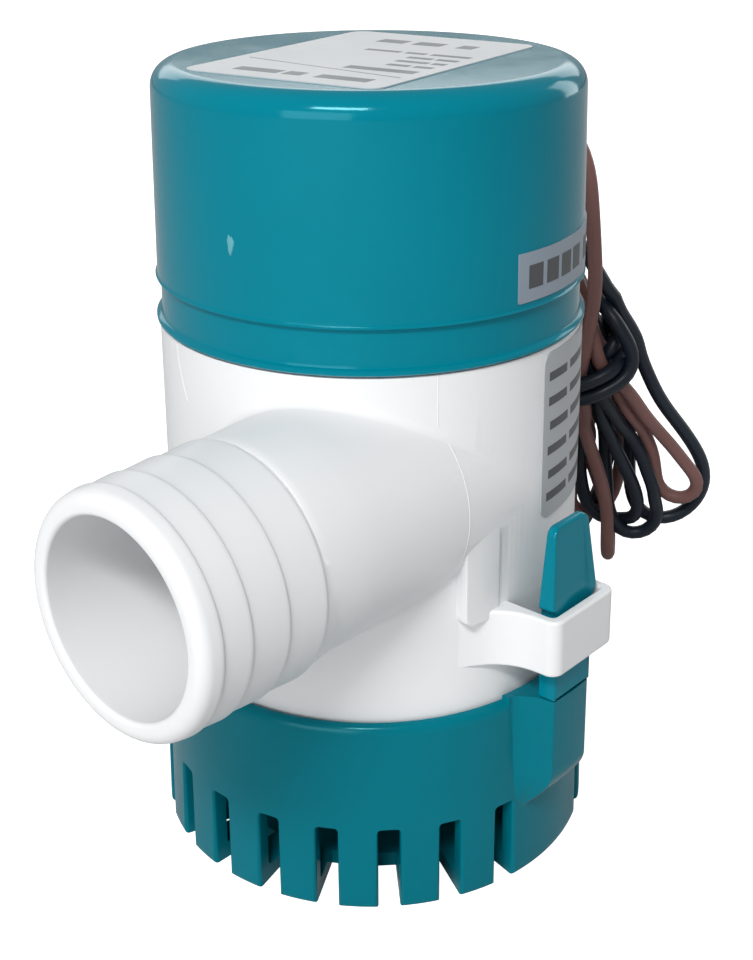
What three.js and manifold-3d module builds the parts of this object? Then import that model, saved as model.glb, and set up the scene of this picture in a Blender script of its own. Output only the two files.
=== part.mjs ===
// A submersible bilge pump that snaps into a slotted strainer base.
//
// Millimetres, +Z up. The origin is the centre of the strainer's underside, on the pump's axis.
// An azimuth is in degrees: 0 faces -Y, 90 faces +X.
import * as THREE from "three";
import { mergeVertices } from "three/addons/utils/BufferGeometryUtils.js";
import Module from "manifold-3d";

const wasm = await Module();
wasm.setup();

// ---------- driving dimensions ----------

const GAP = 0.3; // clearance between neighbouring pieces
const HEIGHT = 105; // floor to the top of the motor cap
const SHELL_SIDES = 48; // facets round the large shells
const SMALL_SIDES = 16; // facets round the motor's pieces

// Strainer base
const BASE_R = 29.7;
const BASE_RIM_Z = 26.6;
const BASE_WALL = 2.2;
const FLOOR_PLATE = 2;
const SLOT_WIDTH = 2.8;
const SLOT_TOP_Z = 11.5;
const SLOT_INNER_R = 21.2;
const SLOT_PITCH = 15.7; // degrees
const SLOTS_PER_SIDE = 10; // in each half ring between the two latches
const FIRST_SLOT = 34.65; // azimuth of the slot beside the front latch
const SCREW_HOLE_R = 2.2;
const SCREW_HOLE_SPREAD = 13; // from the axis to each mounting screw

// Pump body
const BODY_R = 27.65;
const BODY_WALL = 2.25;
const BODY_BOTTOM_Z = 19.5;
const SHOULDER_Z = 72.05; // the cap stands on this step
const SPIGOT_R = 25.9; // plugs into the cap
const SPIGOT_TOP_Z = 80;
const BULKHEAD_Z = [65.6, 68.3]; // floor of the motor chamber
const CHAMBER_R = BODY_R - BODY_WALL;

// Outlet, tangential to the body
const OUTLET_AZIMUTH = -42;
const OUTLET_Z = 53.4;
const OUTLET_OFFSET = 12.9; // sideways from the pump's axis
const OUTLET_REACH = 55.7; // from the pump's axis to the mouth
const OUTLET_BORE_R = 11.6;
const NECK_R = 14.3;
const NECK_RISE = 0.8; // the neck's axis lies this much above the barbed end's
const NECK_SHIFT = 0.4; // and this much further out

// Latches
const LATCH_AZIMUTHS = [48.5, 228.5];
const LOOP_Z = [32.4, 40.1];
const LOOP_OUTER_R = 35.6;
const LOOP_WALL = 1.45;
const LOOP_HALF_WIDTH = 6.7;
const PILLAR_FACE_R = 33.8;
const PILLAR_HALF_WIDTH = 4;
const HINGE_Z = 27.1; // the thin line that each finger bends about
const FINGER_TOP_Z = 51;

// Motor cap
const CAP_MOUTH_Z = SHOULDER_Z + GAP;
const CAP_WALL = 2;
const CAP_TOP_R = 27.5;
const CAP_MOUTH_R = 28.1;
const CAP_SEAM_Z = 78.15;
const CAP_EDGE = 3; // rounding of the top edge

// Motor
const CAN_R = 18.5;
const CAN_WALL = 1.2;
const CAN_Z = [68.6, 95.8];
const SHAFT_R = 1.6;
const BEARING_R = 4.1;
const CORE_R = 13.9;
const POLES = 5;
const COMMUTATOR_R = 4.2;
const MOTOR_SCREW_SPREAD = 11.5;

// Impeller
const IMPELLER_R = 19;
const IMPELLER_Z = [43.2, 59];
const VANES = 6;

// Leads
const GLAND_AZIMUTH = 160;
const GLAND_Z = 88;
const GLAND_TIP = 35.2; // radial distance of its outer end
const WIRE_R = 1.2;
const WIRE_SPREAD = 1.45; // half the distance between the two wires in the gland

// ---------- helpers ----------

const rad = THREE.MathUtils.degToRad;

const plastic = (color, roughness) => new THREE.MeshStandardMaterial({ color, roughness, metalness: 0 });
const metal = (color, roughness) => new THREE.MeshStandardMaterial({ color, roughness, metalness: 1 });

const TEAL = 0x007d92;
const WHITE = 0xf1f3f4;
const LABEL = 0xd2d9da;
const STEEL = 0x9a9c9e;
const BRONZE = 0xa9794a;

const part = new THREE.Group();

// Adds a named piece, given as a geometry or a solid.
function add(name, shape, material, parent = part) {
  const geometry = shape.isBufferGeometry ? shape : geometryOf(shape);
  const mesh = new THREE.Mesh(geometry, material);
  mesh.name = name;
  parent.add(mesh);
  return mesh;
}

// A closed geometry as a solid for joining and cutting.
function solid(geometry) {
  const bare = geometry.clone();
  bare.deleteAttribute("normal");
  bare.deleteAttribute("uv");
  const merged = mergeVertices(bare, 1e-4);
  return new wasm.Manifold(
    new wasm.Mesh({
      numProp: 3,
      vertProperties: new Float32Array(merged.attributes.position.array),
      triVerts: new Uint32Array(merged.index.array),
    }),
  );
}

function geometryOf(made) {
  const { vertProperties, triVerts } = made.getMesh();
  const geometry = new THREE.BufferGeometry();
  geometry.setAttribute("position", new THREE.BufferAttribute(vertProperties, 3));
  geometry.setIndex(new THREE.BufferAttribute(triVerts, 1));
  geometry.computeVertexNormals();
  return geometry;
}

const join = (first, ...rest) => rest.reduce((sum, next) => sum.add(next), first);
const cut = (first, ...rest) => rest.reduce((left, next) => left.subtract(next), first);

const vectors = (points) => points.map(([x, y]) => new THREE.Vector2(x, y));

// Points on an arc in the profile's plane, angles in degrees.
function arc(x, y, r, from, to, steps) {
  return Array.from({ length: steps + 1 }, (_, i) => {
    const a = rad(from + ((to - from) * i) / steps);
    return [x + r * Math.cos(a), y + r * Math.sin(a)];
  });
}

// A turned piece from [radius, height] points that start and end on the axis.
function turned(points, sides) {
  return new THREE.LatheGeometry(vectors(points), sides).rotateX(Math.PI / 2);
}

// A turned ring, from an outline that closes on itself.
function turnedRing(points, sides) {
  return turned([...points, points[0]], sides);
}

// A plain ring between two radii and two heights.
function tube(inner, outer, low, high, sides) {
  return turnedRing([[inner, low], [outer, low], [outer, high], [inner, high]], sides);
}

function disc(r, low, high, sides) {
  return turned([[0, low], [r, low], [r, high], [0, high]], sides);
}

// An upright prism over an outline in plan.
function prism(outline, low, high) {
  const shape = outline.isShape ? outline : new THREE.Shape(vectors(outline));
  const geometry = new THREE.ExtrudeGeometry(shape, { depth: high - low, bevelEnabled: false });
  return geometry.translate(0, 0, low);
}

function box(x, y, z, sx, sy, sz) {
  return new THREE.BoxGeometry(sx, sy, sz).translate(x, y, z);
}

// An outline in [sideways, height], pushed outwards at azimuth 0 from one radius to another.
function pushedOut(points, from, to) {
  const geometry = new THREE.ExtrudeGeometry(new THREE.Shape(vectors(points)), {
    depth: to - from,
    bevelEnabled: false,
  });
  return geometry.rotateX(Math.PI / 2).translate(0, -from, 0);
}

// An outline in [radius, height], given a width across the radial direction at azimuth 0.
function sideOn(points, width) {
  const geometry = new THREE.ExtrudeGeometry(new THREE.Shape(vectors(points)), {
    depth: width,
    bevelEnabled: false,
  });
  const frame = new THREE.Matrix4().makeBasis(
    new THREE.Vector3(0, -1, 0),
    new THREE.Vector3(0, 0, 1),
    new THREE.Vector3(-1, 0, 0),
  );
  return geometry.applyMatrix4(frame).translate(width / 2, 0, 0);
}

// A piece turned about the upright axis and laid along an azimuth's horizontal ray.
function alongRay(points, sides, azimuth, z, offset = 0, closed = false) {
  const make = closed ? turnedRing : turned;
  return make(points, sides).rotateX(Math.PI / 2).translate(offset, 0, z).rotateZ(rad(azimuth));
}

// Part of a ring in plan, between two azimuths.
function sector(inner, outer, from, to, steps) {
  const shift = -90; // azimuth 0 faces -Y
  const out = arc(0, 0, outer, from + shift, to + shift, steps);
  const back = arc(0, 0, inner, to + shift, from + shift, steps);
  return [...out, ...back];
}

const turnedTo = (geometry, azimuth) => geometry.rotateZ(rad(azimuth));

// ---------- strainer base ----------

function strainerBase() {
  const skirtR = BODY_R + GAP;
  const wallR = BASE_R - BASE_WALL;
  const shelfZ = BODY_BOTTOM_Z - GAP;
  const shell = solid(
    turned(
      [
        [0, 0],
        [BASE_R - 0.4, 0],
        [BASE_R, 0.4],
        [BASE_R - 0.4, BASE_RIM_Z - 1],
        [BASE_R - 0.8, BASE_RIM_Z - 0.2],
        [BASE_R - 1.3, BASE_RIM_Z],
        [skirtR, BASE_RIM_Z - 0.4],
        [skirtR, shelfZ],
        [wallR, shelfZ],
        [wallR, FLOOR_PLATE],
        [0, FLOOR_PLATE],
      ],
      SHELL_SIDES,
    ),
  );
  const slots = [];
  for (const turn of [0, 180]) {
    for (let i = 0; i < SLOTS_PER_SIDE; i++) {
      const length = BASE_R - SLOT_INNER_R + 2;
      const middle = SLOT_INNER_R + length / 2;
      const slot = box(0, -middle, SLOT_TOP_Z / 2 - 0.5, SLOT_WIDTH, length, SLOT_TOP_Z + 1);
      slots.push(solid(turnedTo(slot, FIRST_SLOT - i * SLOT_PITCH + turn)));
    }
  }
  const screwHoles = [-1, 1].map((side) =>
    solid(disc(SCREW_HOLE_R, -1, FLOOR_PLATE + 1, 16).translate(side * SCREW_HOLE_SPREAD, 0, 0)),
  );
  const pillars = LATCH_AZIMUTHS.map((azimuth) => solid(geometryOf(latchPillar())).rotate([0, 0, azimuth]));
  return cut(join(shell, ...pillars), ...slots, ...screwHoles);
}

// The stiff lower half of a latch, standing out from the strainer's wall at azimuth 0.
function latchPillar() {
  const inner = BODY_R + 3 * GAP;
  const half = PILLAR_HALF_WIDTH;
  const face = PILLAR_FACE_R;
  const plan = prism(
    [
      [-half - 2, -inner],
      [-half - 1.4, -BASE_R],
      [-half - 0.3, -BASE_R - 0.8],
      [-half, -face + 0.8],
      [-half + 0.8, -face],
      [half - 0.8, -face],
      [half, -face + 0.8],
      [half + 0.3, -BASE_R - 0.8],
      [half + 1.4, -BASE_R],
      [half + 2, -inner],
    ],
    8,
    HINGE_Z,
  );
  const side = sideOn(
    [
      [inner - 1, 9.5],
      [BASE_R, 10],
      [BASE_R + 1.8, 11.2],
      [face - 0.9, 14.2],
      [face, 16.2],
      [face + 1, 17],
      [face + 1, HINGE_Z + 1],
      [inner - 1, HINGE_Z + 1],
    ],
    20,
  );
  return solid(plan).intersect(solid(side));
}

// The springy upper half of a latch, at azimuth 0. It passes up through the body's loop.
function latchFinger() {
  const face = PILLAR_FACE_R;
  const low = HINGE_Z + GAP;
  const front = pushedOut(
    [
      [-3.95, low],
      [3.95, low],
      [3.95, LOOP_Z[1] - 0.4],
      [4.85, LOOP_Z[1] + 0.4],
      [3.7, FINGER_TOP_Z - 0.8],
      [2.9, FINGER_TOP_Z],
      [-2.9, FINGER_TOP_Z],
      [-3.7, FINGER_TOP_Z - 0.8],
      [-4.85, LOOP_Z[1] + 0.4],
      [-3.95, LOOP_Z[1] - 0.4],
    ],
    30,
    35,
  );
  const side = sideOn(
    [
      [face - 1.9, low],
      [face, low],
      [face, LOOP_Z[1] + 0.6],
      [face - 0.9, FINGER_TOP_Z - 0.6],
      [face - 1.2, FINGER_TOP_Z],
      [face - 1.8, FINGER_TOP_Z],
      [face - 2, FINGER_TOP_Z - 0.6],
      [face - 2.3, LOOP_Z[1] + 0.4],
      [face - 1.9, LOOP_Z[1] - 1.6],
    ],
    12,
  );
  return solid(front).intersect(solid(side));
}

add("strainer_base", strainerBase(), plastic(TEAL, 0.35));
["latch_finger_front", "latch_finger_rear"].forEach((name, i) => {
  add(name, latchFinger(), plastic(TEAL, 0.35)).rotation.z = rad(LATCH_AZIMUTHS[i]);
});

// ---------- pump body ----------

// The loop that a latch finger springs into, at azimuth 0, with its arms run into the body.
function latchLoop() {
  const half = LOOP_HALF_WIDTH;
  const flare = (side) => [
    [side * 9.6, -CHAMBER_R - 0.6],
    [side * 8.1, -BODY_R - 0.3],
    [side * 7.2, -BODY_R - 1.9],
    [side * half, -BODY_R - 4],
    [side * half, -LOOP_OUTER_R + 1],
    [side * (half - 1), -LOOP_OUTER_R],
  ];
  const outline = [...flare(-1), ...flare(1).reverse()];
  const inside = half - LOOP_WALL - 0.05;
  const pocketDepth = LOOP_OUTER_R - LOOP_WALL - CHAMBER_R;
  const pocket = box(0, -CHAMBER_R - pocketDepth / 2, 36, 2 * inside, pocketDepth, 30);
  return solid(prism(outline, ...LOOP_Z)).subtract(solid(pocket));
}

// The outlet's outside: a neck that runs back to the tangent point, and a barbed end.
function outletOutside() {
  const crests = [38.05, 43.65, 49, 52.7];
  const barbs = crests.flatMap((reach, i) => [
    [i < 3 ? 14.35 : 14.2, reach - 0.12],
    [14.75 - 0.08 * i, reach + 0.12],
  ]);
  const barbedEnd = [
    [0, 33],
    [13.6, 33],
    [14.45, 36.4],
    ...barbs,
    [14.1, OUTLET_REACH - 0.9],
    [13.5, OUTLET_REACH],
    [0, OUTLET_REACH],
  ];
  const neck = [[0, -7], [10.4, -7], [12.9, -4], [NECK_R, 0], [NECK_R, 35.6], [13.6, 37.2], [0, 37.2]];
  return join(
    solid(alongRay(barbedEnd, 36, OUTLET_AZIMUTH, OUTLET_Z, OUTLET_OFFSET)),
    solid(alongRay(neck, 36, OUTLET_AZIMUTH, OUTLET_Z + NECK_RISE, OUTLET_OFFSET + NECK_SHIFT)),
  );
}

function outletBore() {
  const profile = [
    [0, -1],
    [OUTLET_BORE_R, -1],
    [OUTLET_BORE_R, OUTLET_REACH - 1],
    [OUTLET_BORE_R + 0.9, OUTLET_REACH + 0.1],
    [OUTLET_BORE_R + 0.9, OUTLET_REACH + 1],
    [0, OUTLET_REACH + 1],
  ];
  return alongRay(profile, 28, OUTLET_AZIMUTH, OUTLET_Z, OUTLET_OFFSET);
}

function pumpBody() {
  const grooveZ = SPIGOT_TOP_Z - 3.2; // the gasket's groove
  const outside = solid(
    turned(
      [
        [0, BODY_BOTTOM_Z],
        [BODY_R - 0.4, BODY_BOTTOM_Z],
        [BODY_R, BODY_BOTTOM_Z + 0.6],
        [BODY_R, SHOULDER_Z],
        [SPIGOT_R, SHOULDER_Z],
        [SPIGOT_R, grooveZ - 0.9],
        [SPIGOT_R - 1.5, grooveZ - 0.9],
        [SPIGOT_R - 1.5, grooveZ + 0.9],
        [SPIGOT_R, grooveZ + 0.9],
        [SPIGOT_R, SPIGOT_TOP_Z - 0.6],
        [SPIGOT_R - 0.6, SPIGOT_TOP_Z],
        [0, SPIGOT_TOP_Z],
      ],
      SHELL_SIDES,
    ),
  );
  const loops = LATCH_AZIMUTHS.map((azimuth) => latchLoop().rotate([0, 0, azimuth]));
  // A flat pad under the outlet's neck, beside the front latch.
  const pad = solid(prism(sector(CHAMBER_R + 0.6, BODY_R + 1.1, 22, 34, 3), 38.6, 52));
  const seal = solid(disc(8, BULKHEAD_Z[0] - 4.1, BULKHEAD_Z[0] + 1, SMALL_SIDES));
  const motorChamber = solid(disc(SPIGOT_R - 2.4, BULKHEAD_Z[1], SPIGOT_TOP_Z + 1, SHELL_SIDES));
  const pumpChamber = solid(disc(CHAMBER_R, BODY_BOTTOM_Z - 1, BULKHEAD_Z[0], SHELL_SIDES));
  const sealSeat = solid(disc(5.3, 50, BULKHEAD_Z[0] + 0.6, SMALL_SIDES));
  const shaftHole = solid(disc(2.2, 50, 75, SMALL_SIDES));
  const screwHoles = [-1, 1].map((side) =>
    solid(disc(1.6, 50, 75, 12).translate(side * MOTOR_SCREW_SPREAD, 0, 0)),
  );
  const shell = cut(
    join(outside, outletOutside(), pad, ...loops),
    pumpChamber,
    motorChamber,
    solid(outletBore()),
  );
  return cut(join(shell, seal), sealSeat, shaftHole, ...screwHoles);
}

add("pump_body", pumpBody(), plastic(WHITE, 0.42));

// The intake plate closes the impeller's chamber from below and leaves a collared eye.
const eyeR = 11;
const plateZ = 38.4;
add(
  "intake_plate",
  turnedRing(
    [
      [eyeR, plateZ],
      [CHAMBER_R - GAP, plateZ],
      [CHAMBER_R - GAP, plateZ + 3.3],
      [CHAMBER_R - GAP - 1.1, plateZ + 3.3],
      [CHAMBER_R - GAP - 1.1, plateZ + 1.8],
      [eyeR + 1.2, plateZ + 1.8],
      [eyeR + 1.2, plateZ + 3.6],
      [eyeR, plateZ + 3.6],
    ],
    32,
  ),
  plastic(WHITE, 0.5),
);

// ---------- motor cap ----------

function motorCap() {
  const mouthInner = SPIGOT_R + GAP;
  const roof = HEIGHT - CAP_WALL;
  const shell = solid(
    turned(
      [
        [0, roof],
        [CAP_TOP_R - CAP_WALL - 1, roof],
        [CAP_TOP_R - CAP_WALL, roof - 1],
        [mouthInner - 0.5, SPIGOT_TOP_Z + 1.6],
        [mouthInner, SPIGOT_TOP_Z + 1],
        [mouthInner, CAP_MOUTH_Z],
        [CAP_MOUTH_R, CAP_MOUTH_Z],
        [CAP_MOUTH_R, CAP_MOUTH_Z + 0.5],
        [CAP_MOUTH_R - 0.35, CAP_MOUTH_Z + 0.9],
        [CAP_MOUTH_R - 0.4, CAP_SEAM_Z - 0.4],
        [CAP_MOUTH_R - 0.1, CAP_SEAM_Z - 0.1],
        [CAP_MOUTH_R - 0.1, CAP_SEAM_Z + 0.2],
        [CAP_MOUTH_R - 0.35, CAP_SEAM_Z + 0.5],
        ...arc(CAP_TOP_R - CAP_EDGE, HEIGHT - CAP_EDGE, CAP_EDGE, 0, 90, 4),
        [0, HEIGHT],
      ],
      SHELL_SIDES,
    ),
  );
  // A round pad on the wall gives the cable gland a flat seat.
  const seat = alongRay([[0, 25.6], [6, 25.6], [6, 28.4], [0, 28.4]], 16, GLAND_AZIMUTH, GLAND_Z);
  const hole = alongRay([[0, 20], [3.9, 20], [3.9, 32], [0, 32]], 16, GLAND_AZIMUTH, GLAND_Z);
  return cut(join(shell, solid(seat)), solid(hole));
}

add("motor_cap", motorCap(), plastic(TEAL, 0.3));

const gasketZ = SPIGOT_TOP_Z - 3.2;
add(
  "cap_gasket",
  tube(SPIGOT_R - 1.2, SPIGOT_R, gasketZ - 0.6, gasketZ + 0.6, 28),
  plastic(0x1c1c1c, 0.8),
);

// ---------- motor ----------

const bearingLowZ = [69.2, 72.7];
const bearingHighZ = [97.7, 100.6];
const brushZ = 94.1;

function motorCan() {
  const bearingBore = BEARING_R + GAP;
  const inner = CAN_R - CAN_WALL;
  const floor = CAN_Z[0] + CAN_WALL;
  const shell = turnedRing(
    [
      [bearingBore, CAN_Z[0]],
      [CAN_R - 0.8, CAN_Z[0]],
      [CAN_R, CAN_Z[0] + 0.8],
      [CAN_R, CAN_Z[1]],
      [inner, CAN_Z[1]],
      [inner, floor],
      [bearingBore + 1.2, floor],
      [bearingBore + 1.2, bearingLowZ[1] - 0.3],
      [bearingBore, bearingLowZ[1] - 0.3],
    ],
    32,
  );
  const holes = [-1, 1].map((side) =>
    solid(disc(1.6, 60, 72, 12).translate(side * MOTOR_SCREW_SPREAD, 0, 0)),
  );
  return cut(solid(shell), ...holes);
}

add("motor_can", motorCan(), metal(STEEL, 0.4));

[90, 270].forEach((azimuth, i) => {
  const outline = sector(CORE_R + 0.7, CAN_R - CAN_WALL - GAP, azimuth - 62, azimuth + 62, 12);
  add("magnet_" + (i + 1), prism(outline, 73.5, 91), plastic(0x35363a, 0.6));
});

// A bush with chamfered ends.
const bush = (low, high) =>
  turnedRing(
    [
      [SHAFT_R + GAP, low],
      [BEARING_R - 0.4, low],
      [BEARING_R, low + 0.4],
      [BEARING_R, high - 0.4],
      [BEARING_R - 0.4, high],
      [SHAFT_R + GAP, high],
    ],
    SMALL_SIDES,
  );
add("lower_bearing", bush(...bearingLowZ), metal(BRONZE, 0.45));
add("upper_bearing", bush(...bearingHighZ), metal(BRONZE, 0.45));

add(
  "motor_shaft",
  turned(
    [
      [0, 45.8],
      [SHAFT_R - 0.3, 45.8],
      [SHAFT_R, 46.1],
      [SHAFT_R, 100.1],
      [SHAFT_R - 0.3, 100.4],
      [0, 100.4],
    ],
    12,
  ),
  metal(0xc9ccd0, 0.2),
);

// The laminated core: a hub with T-shaped poles.
function armatureCore() {
  const coreZ = [75, 88];
  const hub = solid(disc(5, ...coreZ, SMALL_SIDES));
  const poles = Array.from({ length: POLES }, (_, i) => {
    const azimuth = (i * 360) / POLES;
    const neck = solid(turnedTo(box(0, -8.5, (coreZ[0] + coreZ[1]) / 2, 4, 8, coreZ[1] - coreZ[0]), azimuth));
    const shoe = solid(prism(sector(12.2, CORE_R, azimuth - 30, azimuth + 30, 5), ...coreZ));
    return neck.add(shoe);
  });
  return cut(join(hub, ...poles), solid(disc(SHAFT_R + GAP, 70, 95, 12)));
}

const COIL_SIDES = 20;

// The copper: coils in the slots between the poles, joined by the end turns.
function windings() {
  const coils = solid(tube(5.5, 11.9, 73.6, 89.2, COIL_SIDES));
  const necks = Array.from({ length: POLES }, (_, i) =>
    solid(turnedTo(box(0, -8.5, 81.5, 4.6, 16, 13.6), (i * 360) / POLES)),
  );
  const endTurns = (low, high) =>
    solid(turnedRing([[6.2, low], [11, low], [11.9, low + 0.8], [11.9, high], [6.2, high]], COIL_SIDES));
  const upper = solid(
    turnedRing([[5.5, 88.3], [11.9, 88.3], [11.9, 89.6], [11, 90.4], [5.5, 90.4]], COIL_SIDES),
  );
  const middle = cut(coils, ...necks);
  const clear = solid(disc(6.2, 70, 74.7, COIL_SIDES));
  return cut(join(middle, endTurns(72.4, 74.7), upper), clear);
}

function commutator() {
  const z = 90.8;
  const barrel = turnedRing(
    [
      [SHAFT_R + GAP, z],
      [COMMUTATOR_R + 1, z],
      [COMMUTATOR_R + 1, z + 0.9],
      [COMMUTATOR_R, z + 0.9],
      [COMMUTATOR_R, z + 5.4],
      [SHAFT_R + GAP, z + 5.4],
    ],
    20,
  );
  const splits = Array.from({ length: POLES }, (_, i) =>
    solid(turnedTo(box(0, -COMMUTATOR_R, z + 3.5, 0.4, 1.2, 8), ((i + 0.5) * 360) / POLES)),
  );
  return cut(solid(barrel), ...splits);
}

add("armature_core", armatureCore(), metal(0x77797c, 0.5));
add("windings", windings(), metal(0xb4622c, 0.35));
add("commutator", commutator(), metal(0xc07a45, 0.3));

// The nylon end bell holds the upper bearing, the brush arms and the terminals.
const terminalX = 10.5;
const terminalY = 9.4;
function endBell() {
  const bore = BEARING_R + GAP;
  const plateLow = 97.4;
  const shell = solid(
    turnedRing(
      [
        [bore, plateLow],
        [15.8, plateLow],
        [15.8, 93],
        [CAN_R - CAN_WALL - GAP, 93],
        [CAN_R - CAN_WALL - GAP, CAN_Z[1] + GAP],
        [CAN_R, CAN_Z[1] + GAP],
        [CAN_R, plateLow + 2],
        [bore + 1.4, plateLow + 2],
        [bore + 1.4, bearingHighZ[1] + 0.3],
        [bore, bearingHighZ[1] + 0.3],
      ],
      28,
    ),
  );
  const slots = [0, 180].map((turn) =>
    solid(turnedTo(box(terminalX, -terminalY, 98, 0.8 + 2 * GAP, 3 + 2 * GAP, 6), turn)),
  );
  return cut(shell, ...slots);
}

add("end_bell", endBell(), plastic(0xe8e4d8, 0.5));
[0, 180].forEach((turn, i) => {
  const end = i + 1;
  const armR = 9.8;
  const brush = box(0, -(COMMUTATOR_R + GAP + armR - GAP) / 2, brushZ, 3, armR - COMMUTATOR_R - 2 * GAP, 3);
  add("brush_" + end, turnedTo(brush, turn), plastic(0x2a2a2c, 0.7));
  const armLength = terminalX - 0.4 - GAP + 1.8;
  const arm = box(-1.8 + armLength / 2, -armR - 0.2, brushZ, armLength, 0.4, 3);
  add("brush_arm_" + end, turnedTo(arm, turn), metal(BRONZE, 0.3));
  const terminal = box(terminalX, -terminalY, 96.6, 0.8, 3, 8.6);
  add("terminal_" + end, turnedTo(terminal, turn), metal(0xc8b070, 0.3));
});

[-1, 1].forEach((side, i) => {
  const headTop = BULKHEAD_Z[0] - GAP;
  const screw = turned(
    [
      [0, headTop - 1.7],
      [1.8, headTop - 1.7],
      [2.6, headTop - 1],
      [2.6, headTop],
      [1.3, headTop],
      [1.3, 71.4],
      [0, 71.4],
    ],
    10,
  );
  add("motor_screw_" + (i + 1), screw.translate(side * MOTOR_SCREW_SPREAD, 0, 0), metal(0xb9bcc0, 0.3));
});

// ---------- seal and impeller ----------

add(
  "shaft_seal",
  turnedRing(
    [
      [SHAFT_R + GAP, 63],
      [2.6, 62.4],
      [5, 62.4],
      [5, 65.9],
      [2.8, 65.9],
      [2.8, 64.4],
      [SHAFT_R + GAP, 63.8],
    ],
    SMALL_SIDES,
  ),
  plastic(0x1b1b1d, 0.75),
);
add("seal_retainer", tube(2.6, 5, 61.7, 62.1, SMALL_SIDES), metal(STEEL, 0.35));

function impeller() {
  const hubR = 4;
  const shroudLow = IMPELLER_Z[1] - 1.6;
  const shroud = solid(disc(IMPELLER_R, shroudLow, IMPELLER_Z[1], 30));
  const hub = solid(
    turned(
      [[0, IMPELLER_Z[0]], [2.6, IMPELLER_Z[0]], [hubR, 46], [hubR, 60.6], [0, 60.6]],
      SMALL_SIDES,
    ),
  );
  // Each vane is a bent plate, swept back against the turning direction.
  const bendR = 13;
  const vane = [...arc(0, bendR, bendR + 0.7, -92, -8, 6), ...arc(0, bendR, bendR - 0.7, -8, -92, 6)];
  const vanes = Array.from({ length: VANES }, (_, i) => {
    const plate = prism(vane, IMPELLER_Z[0], shroudLow + 0.4).translate(3.2, 0, 0);
    return solid(turnedTo(plate, (i * 360) / VANES));
  });
  const rim = solid(disc(IMPELLER_R, IMPELLER_Z[0] - 1, IMPELLER_Z[1] + 3, 30));
  const bore = solid(disc(SHAFT_R + GAP, 45.5, 70, 12));
  return cut(join(shroud, hub, ...vanes).intersect(rim), bore);
}

add("impeller", impeller(), plastic(0xe9eaea, 0.45));

// ---------- cable gland and leads ----------

add(
  "cable_gland",
  alongRay(
    [
      [0, 23.9],
      [4.6, 23.9],
      [4.6, 24.9],
      [3.6, 25.2],
      [3.6, 28.5],
      [5, 28.7],
      [5, 30.1],
      [4.4, 30.6],
      [3.3, GLAND_TIP],
      [0, GLAND_TIP],
    ],
    16,
    GLAND_AZIMUTH,
    GLAND_Z,
  ),
  plastic(0x18181a, 0.7),
);

// A wire of eight sides along points chosen by hand.
function wire(points, steps) {
  const path = new THREE.CatmullRomCurve3(points.map((p) => new THREE.Vector3(...p)), false, "centripetal");
  const section = new THREE.Shape(vectors(arc(0, 0, WIRE_R, 0, 315, 7)));
  return new THREE.ExtrudeGeometry(section, { steps, bevelEnabled: false, extrudePath: path });
}

const outwards = new THREE.Vector3(Math.sin(rad(GLAND_AZIMUTH)), -Math.cos(rad(GLAND_AZIMUTH)), 0);
const sideways = new THREE.Vector3(outwards.y, -outwards.x, 0);

// A point beside the gland's axis: distance out along it, and which of the two wires.
function inGland(distance, which) {
  const p = outwards.clone().multiplyScalar(distance).addScaledVector(sideways, which * WIRE_SPREAD);
  return [p.x, p.y, GLAND_Z];
}

const BROWN = plastic(0x5d3a30, 0.5);
const BLACK = plastic(0x1b1e24, 0.5);

add(
  "brown_lead",
  wire(
    [
      inGland(GLAND_TIP + GAP, 1),
      inGland(GLAND_TIP + 4, 1),
      [18.6, 41.6, 88.9],
      [23.6, 43.4, 89.5],
      [28.6, 42.9, 88.8],
      [32.3, 42.0, 85.8],
      [34.1, 41.2, 81.0],
      [34.9, 40.9, 74.5],
      [35.5, 41.1, 68.0],
      [36.0, 42.2, 62.5],
      [36.3, 43.9, 58.2],
    ],
    22,
  ),
  BROWN,
);
add(
  "black_lead",
  wire(
    [
      inGland(GLAND_TIP + GAP, -1),
      inGland(GLAND_TIP + 4, -1),
      [15.4, 43.4, 88.3],
      [20.6, 46.6, 88.2],
      [26.4, 47.2, 86.6],
      [30.2, 46.6, 82.4],
      [31.6, 46.2, 76.5],
      [32.3, 46.4, 70.0],
      [33.0, 47.4, 64.0],
      [34.0, 49.0, 59.5],
    ],
    22,
  ),
  BLACK,
);

// The leads inside the cap, from the brush terminals to the gland.
add(
  "inner_lead_1",
  wire(
    [
      [12.3, -9.4, 100.9],
      [15.5, -9, 101.2],
      [19.5, -4, 100.4],
      [21.8, 4, 97],
      [19.6, 11.4, 92.5],
      [14.4, 16.6, 89],
      [inGland(21, 1)[0], inGland(21, 1)[1], GLAND_Z],
      inGland(23.6, 1),
    ],
    16,
  ),
  BROWN,
);
add(
  "inner_lead_2",
  wire(
    [
      [-12.3, 9.4, 100.9],
      [-15.5, 11.5, 101],
      [-14.6, 15.8, 98.6],
      [-8.5, 20.6, 93.5],
      [-1, 21.4, 89.4],
      [inGland(21, -1)[0] - 0.6, inGland(21, -1)[1], GLAND_Z],
      inGland(23.6, -1),
    ],
    16,
  ),
  BLACK,
);

// The rest of each lead is folded into a hank that leans from the cap down to the floor.
const HANK_TOP = new THREE.Vector3(38, 48, 56);
const HANK_FOOT = new THREE.Vector3(46, 63, 2);
const HANK_LAYER = 6.2; // thickness of each wire's half of the hank

function hankFrame() {
  const up = HANK_TOP.clone().sub(HANK_FOOT).normalize();
  const across = new THREE.Vector3(1, 0, 0).addScaledVector(up, -up.x).normalize();
  const frame = new THREE.Group();
  frame.applyMatrix4(new THREE.Matrix4().makeBasis(across, up, across.clone().cross(up)));
  frame.position.copy(HANK_TOP).lerp(HANK_FOOT, 0.5);
  return frame;
}

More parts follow.
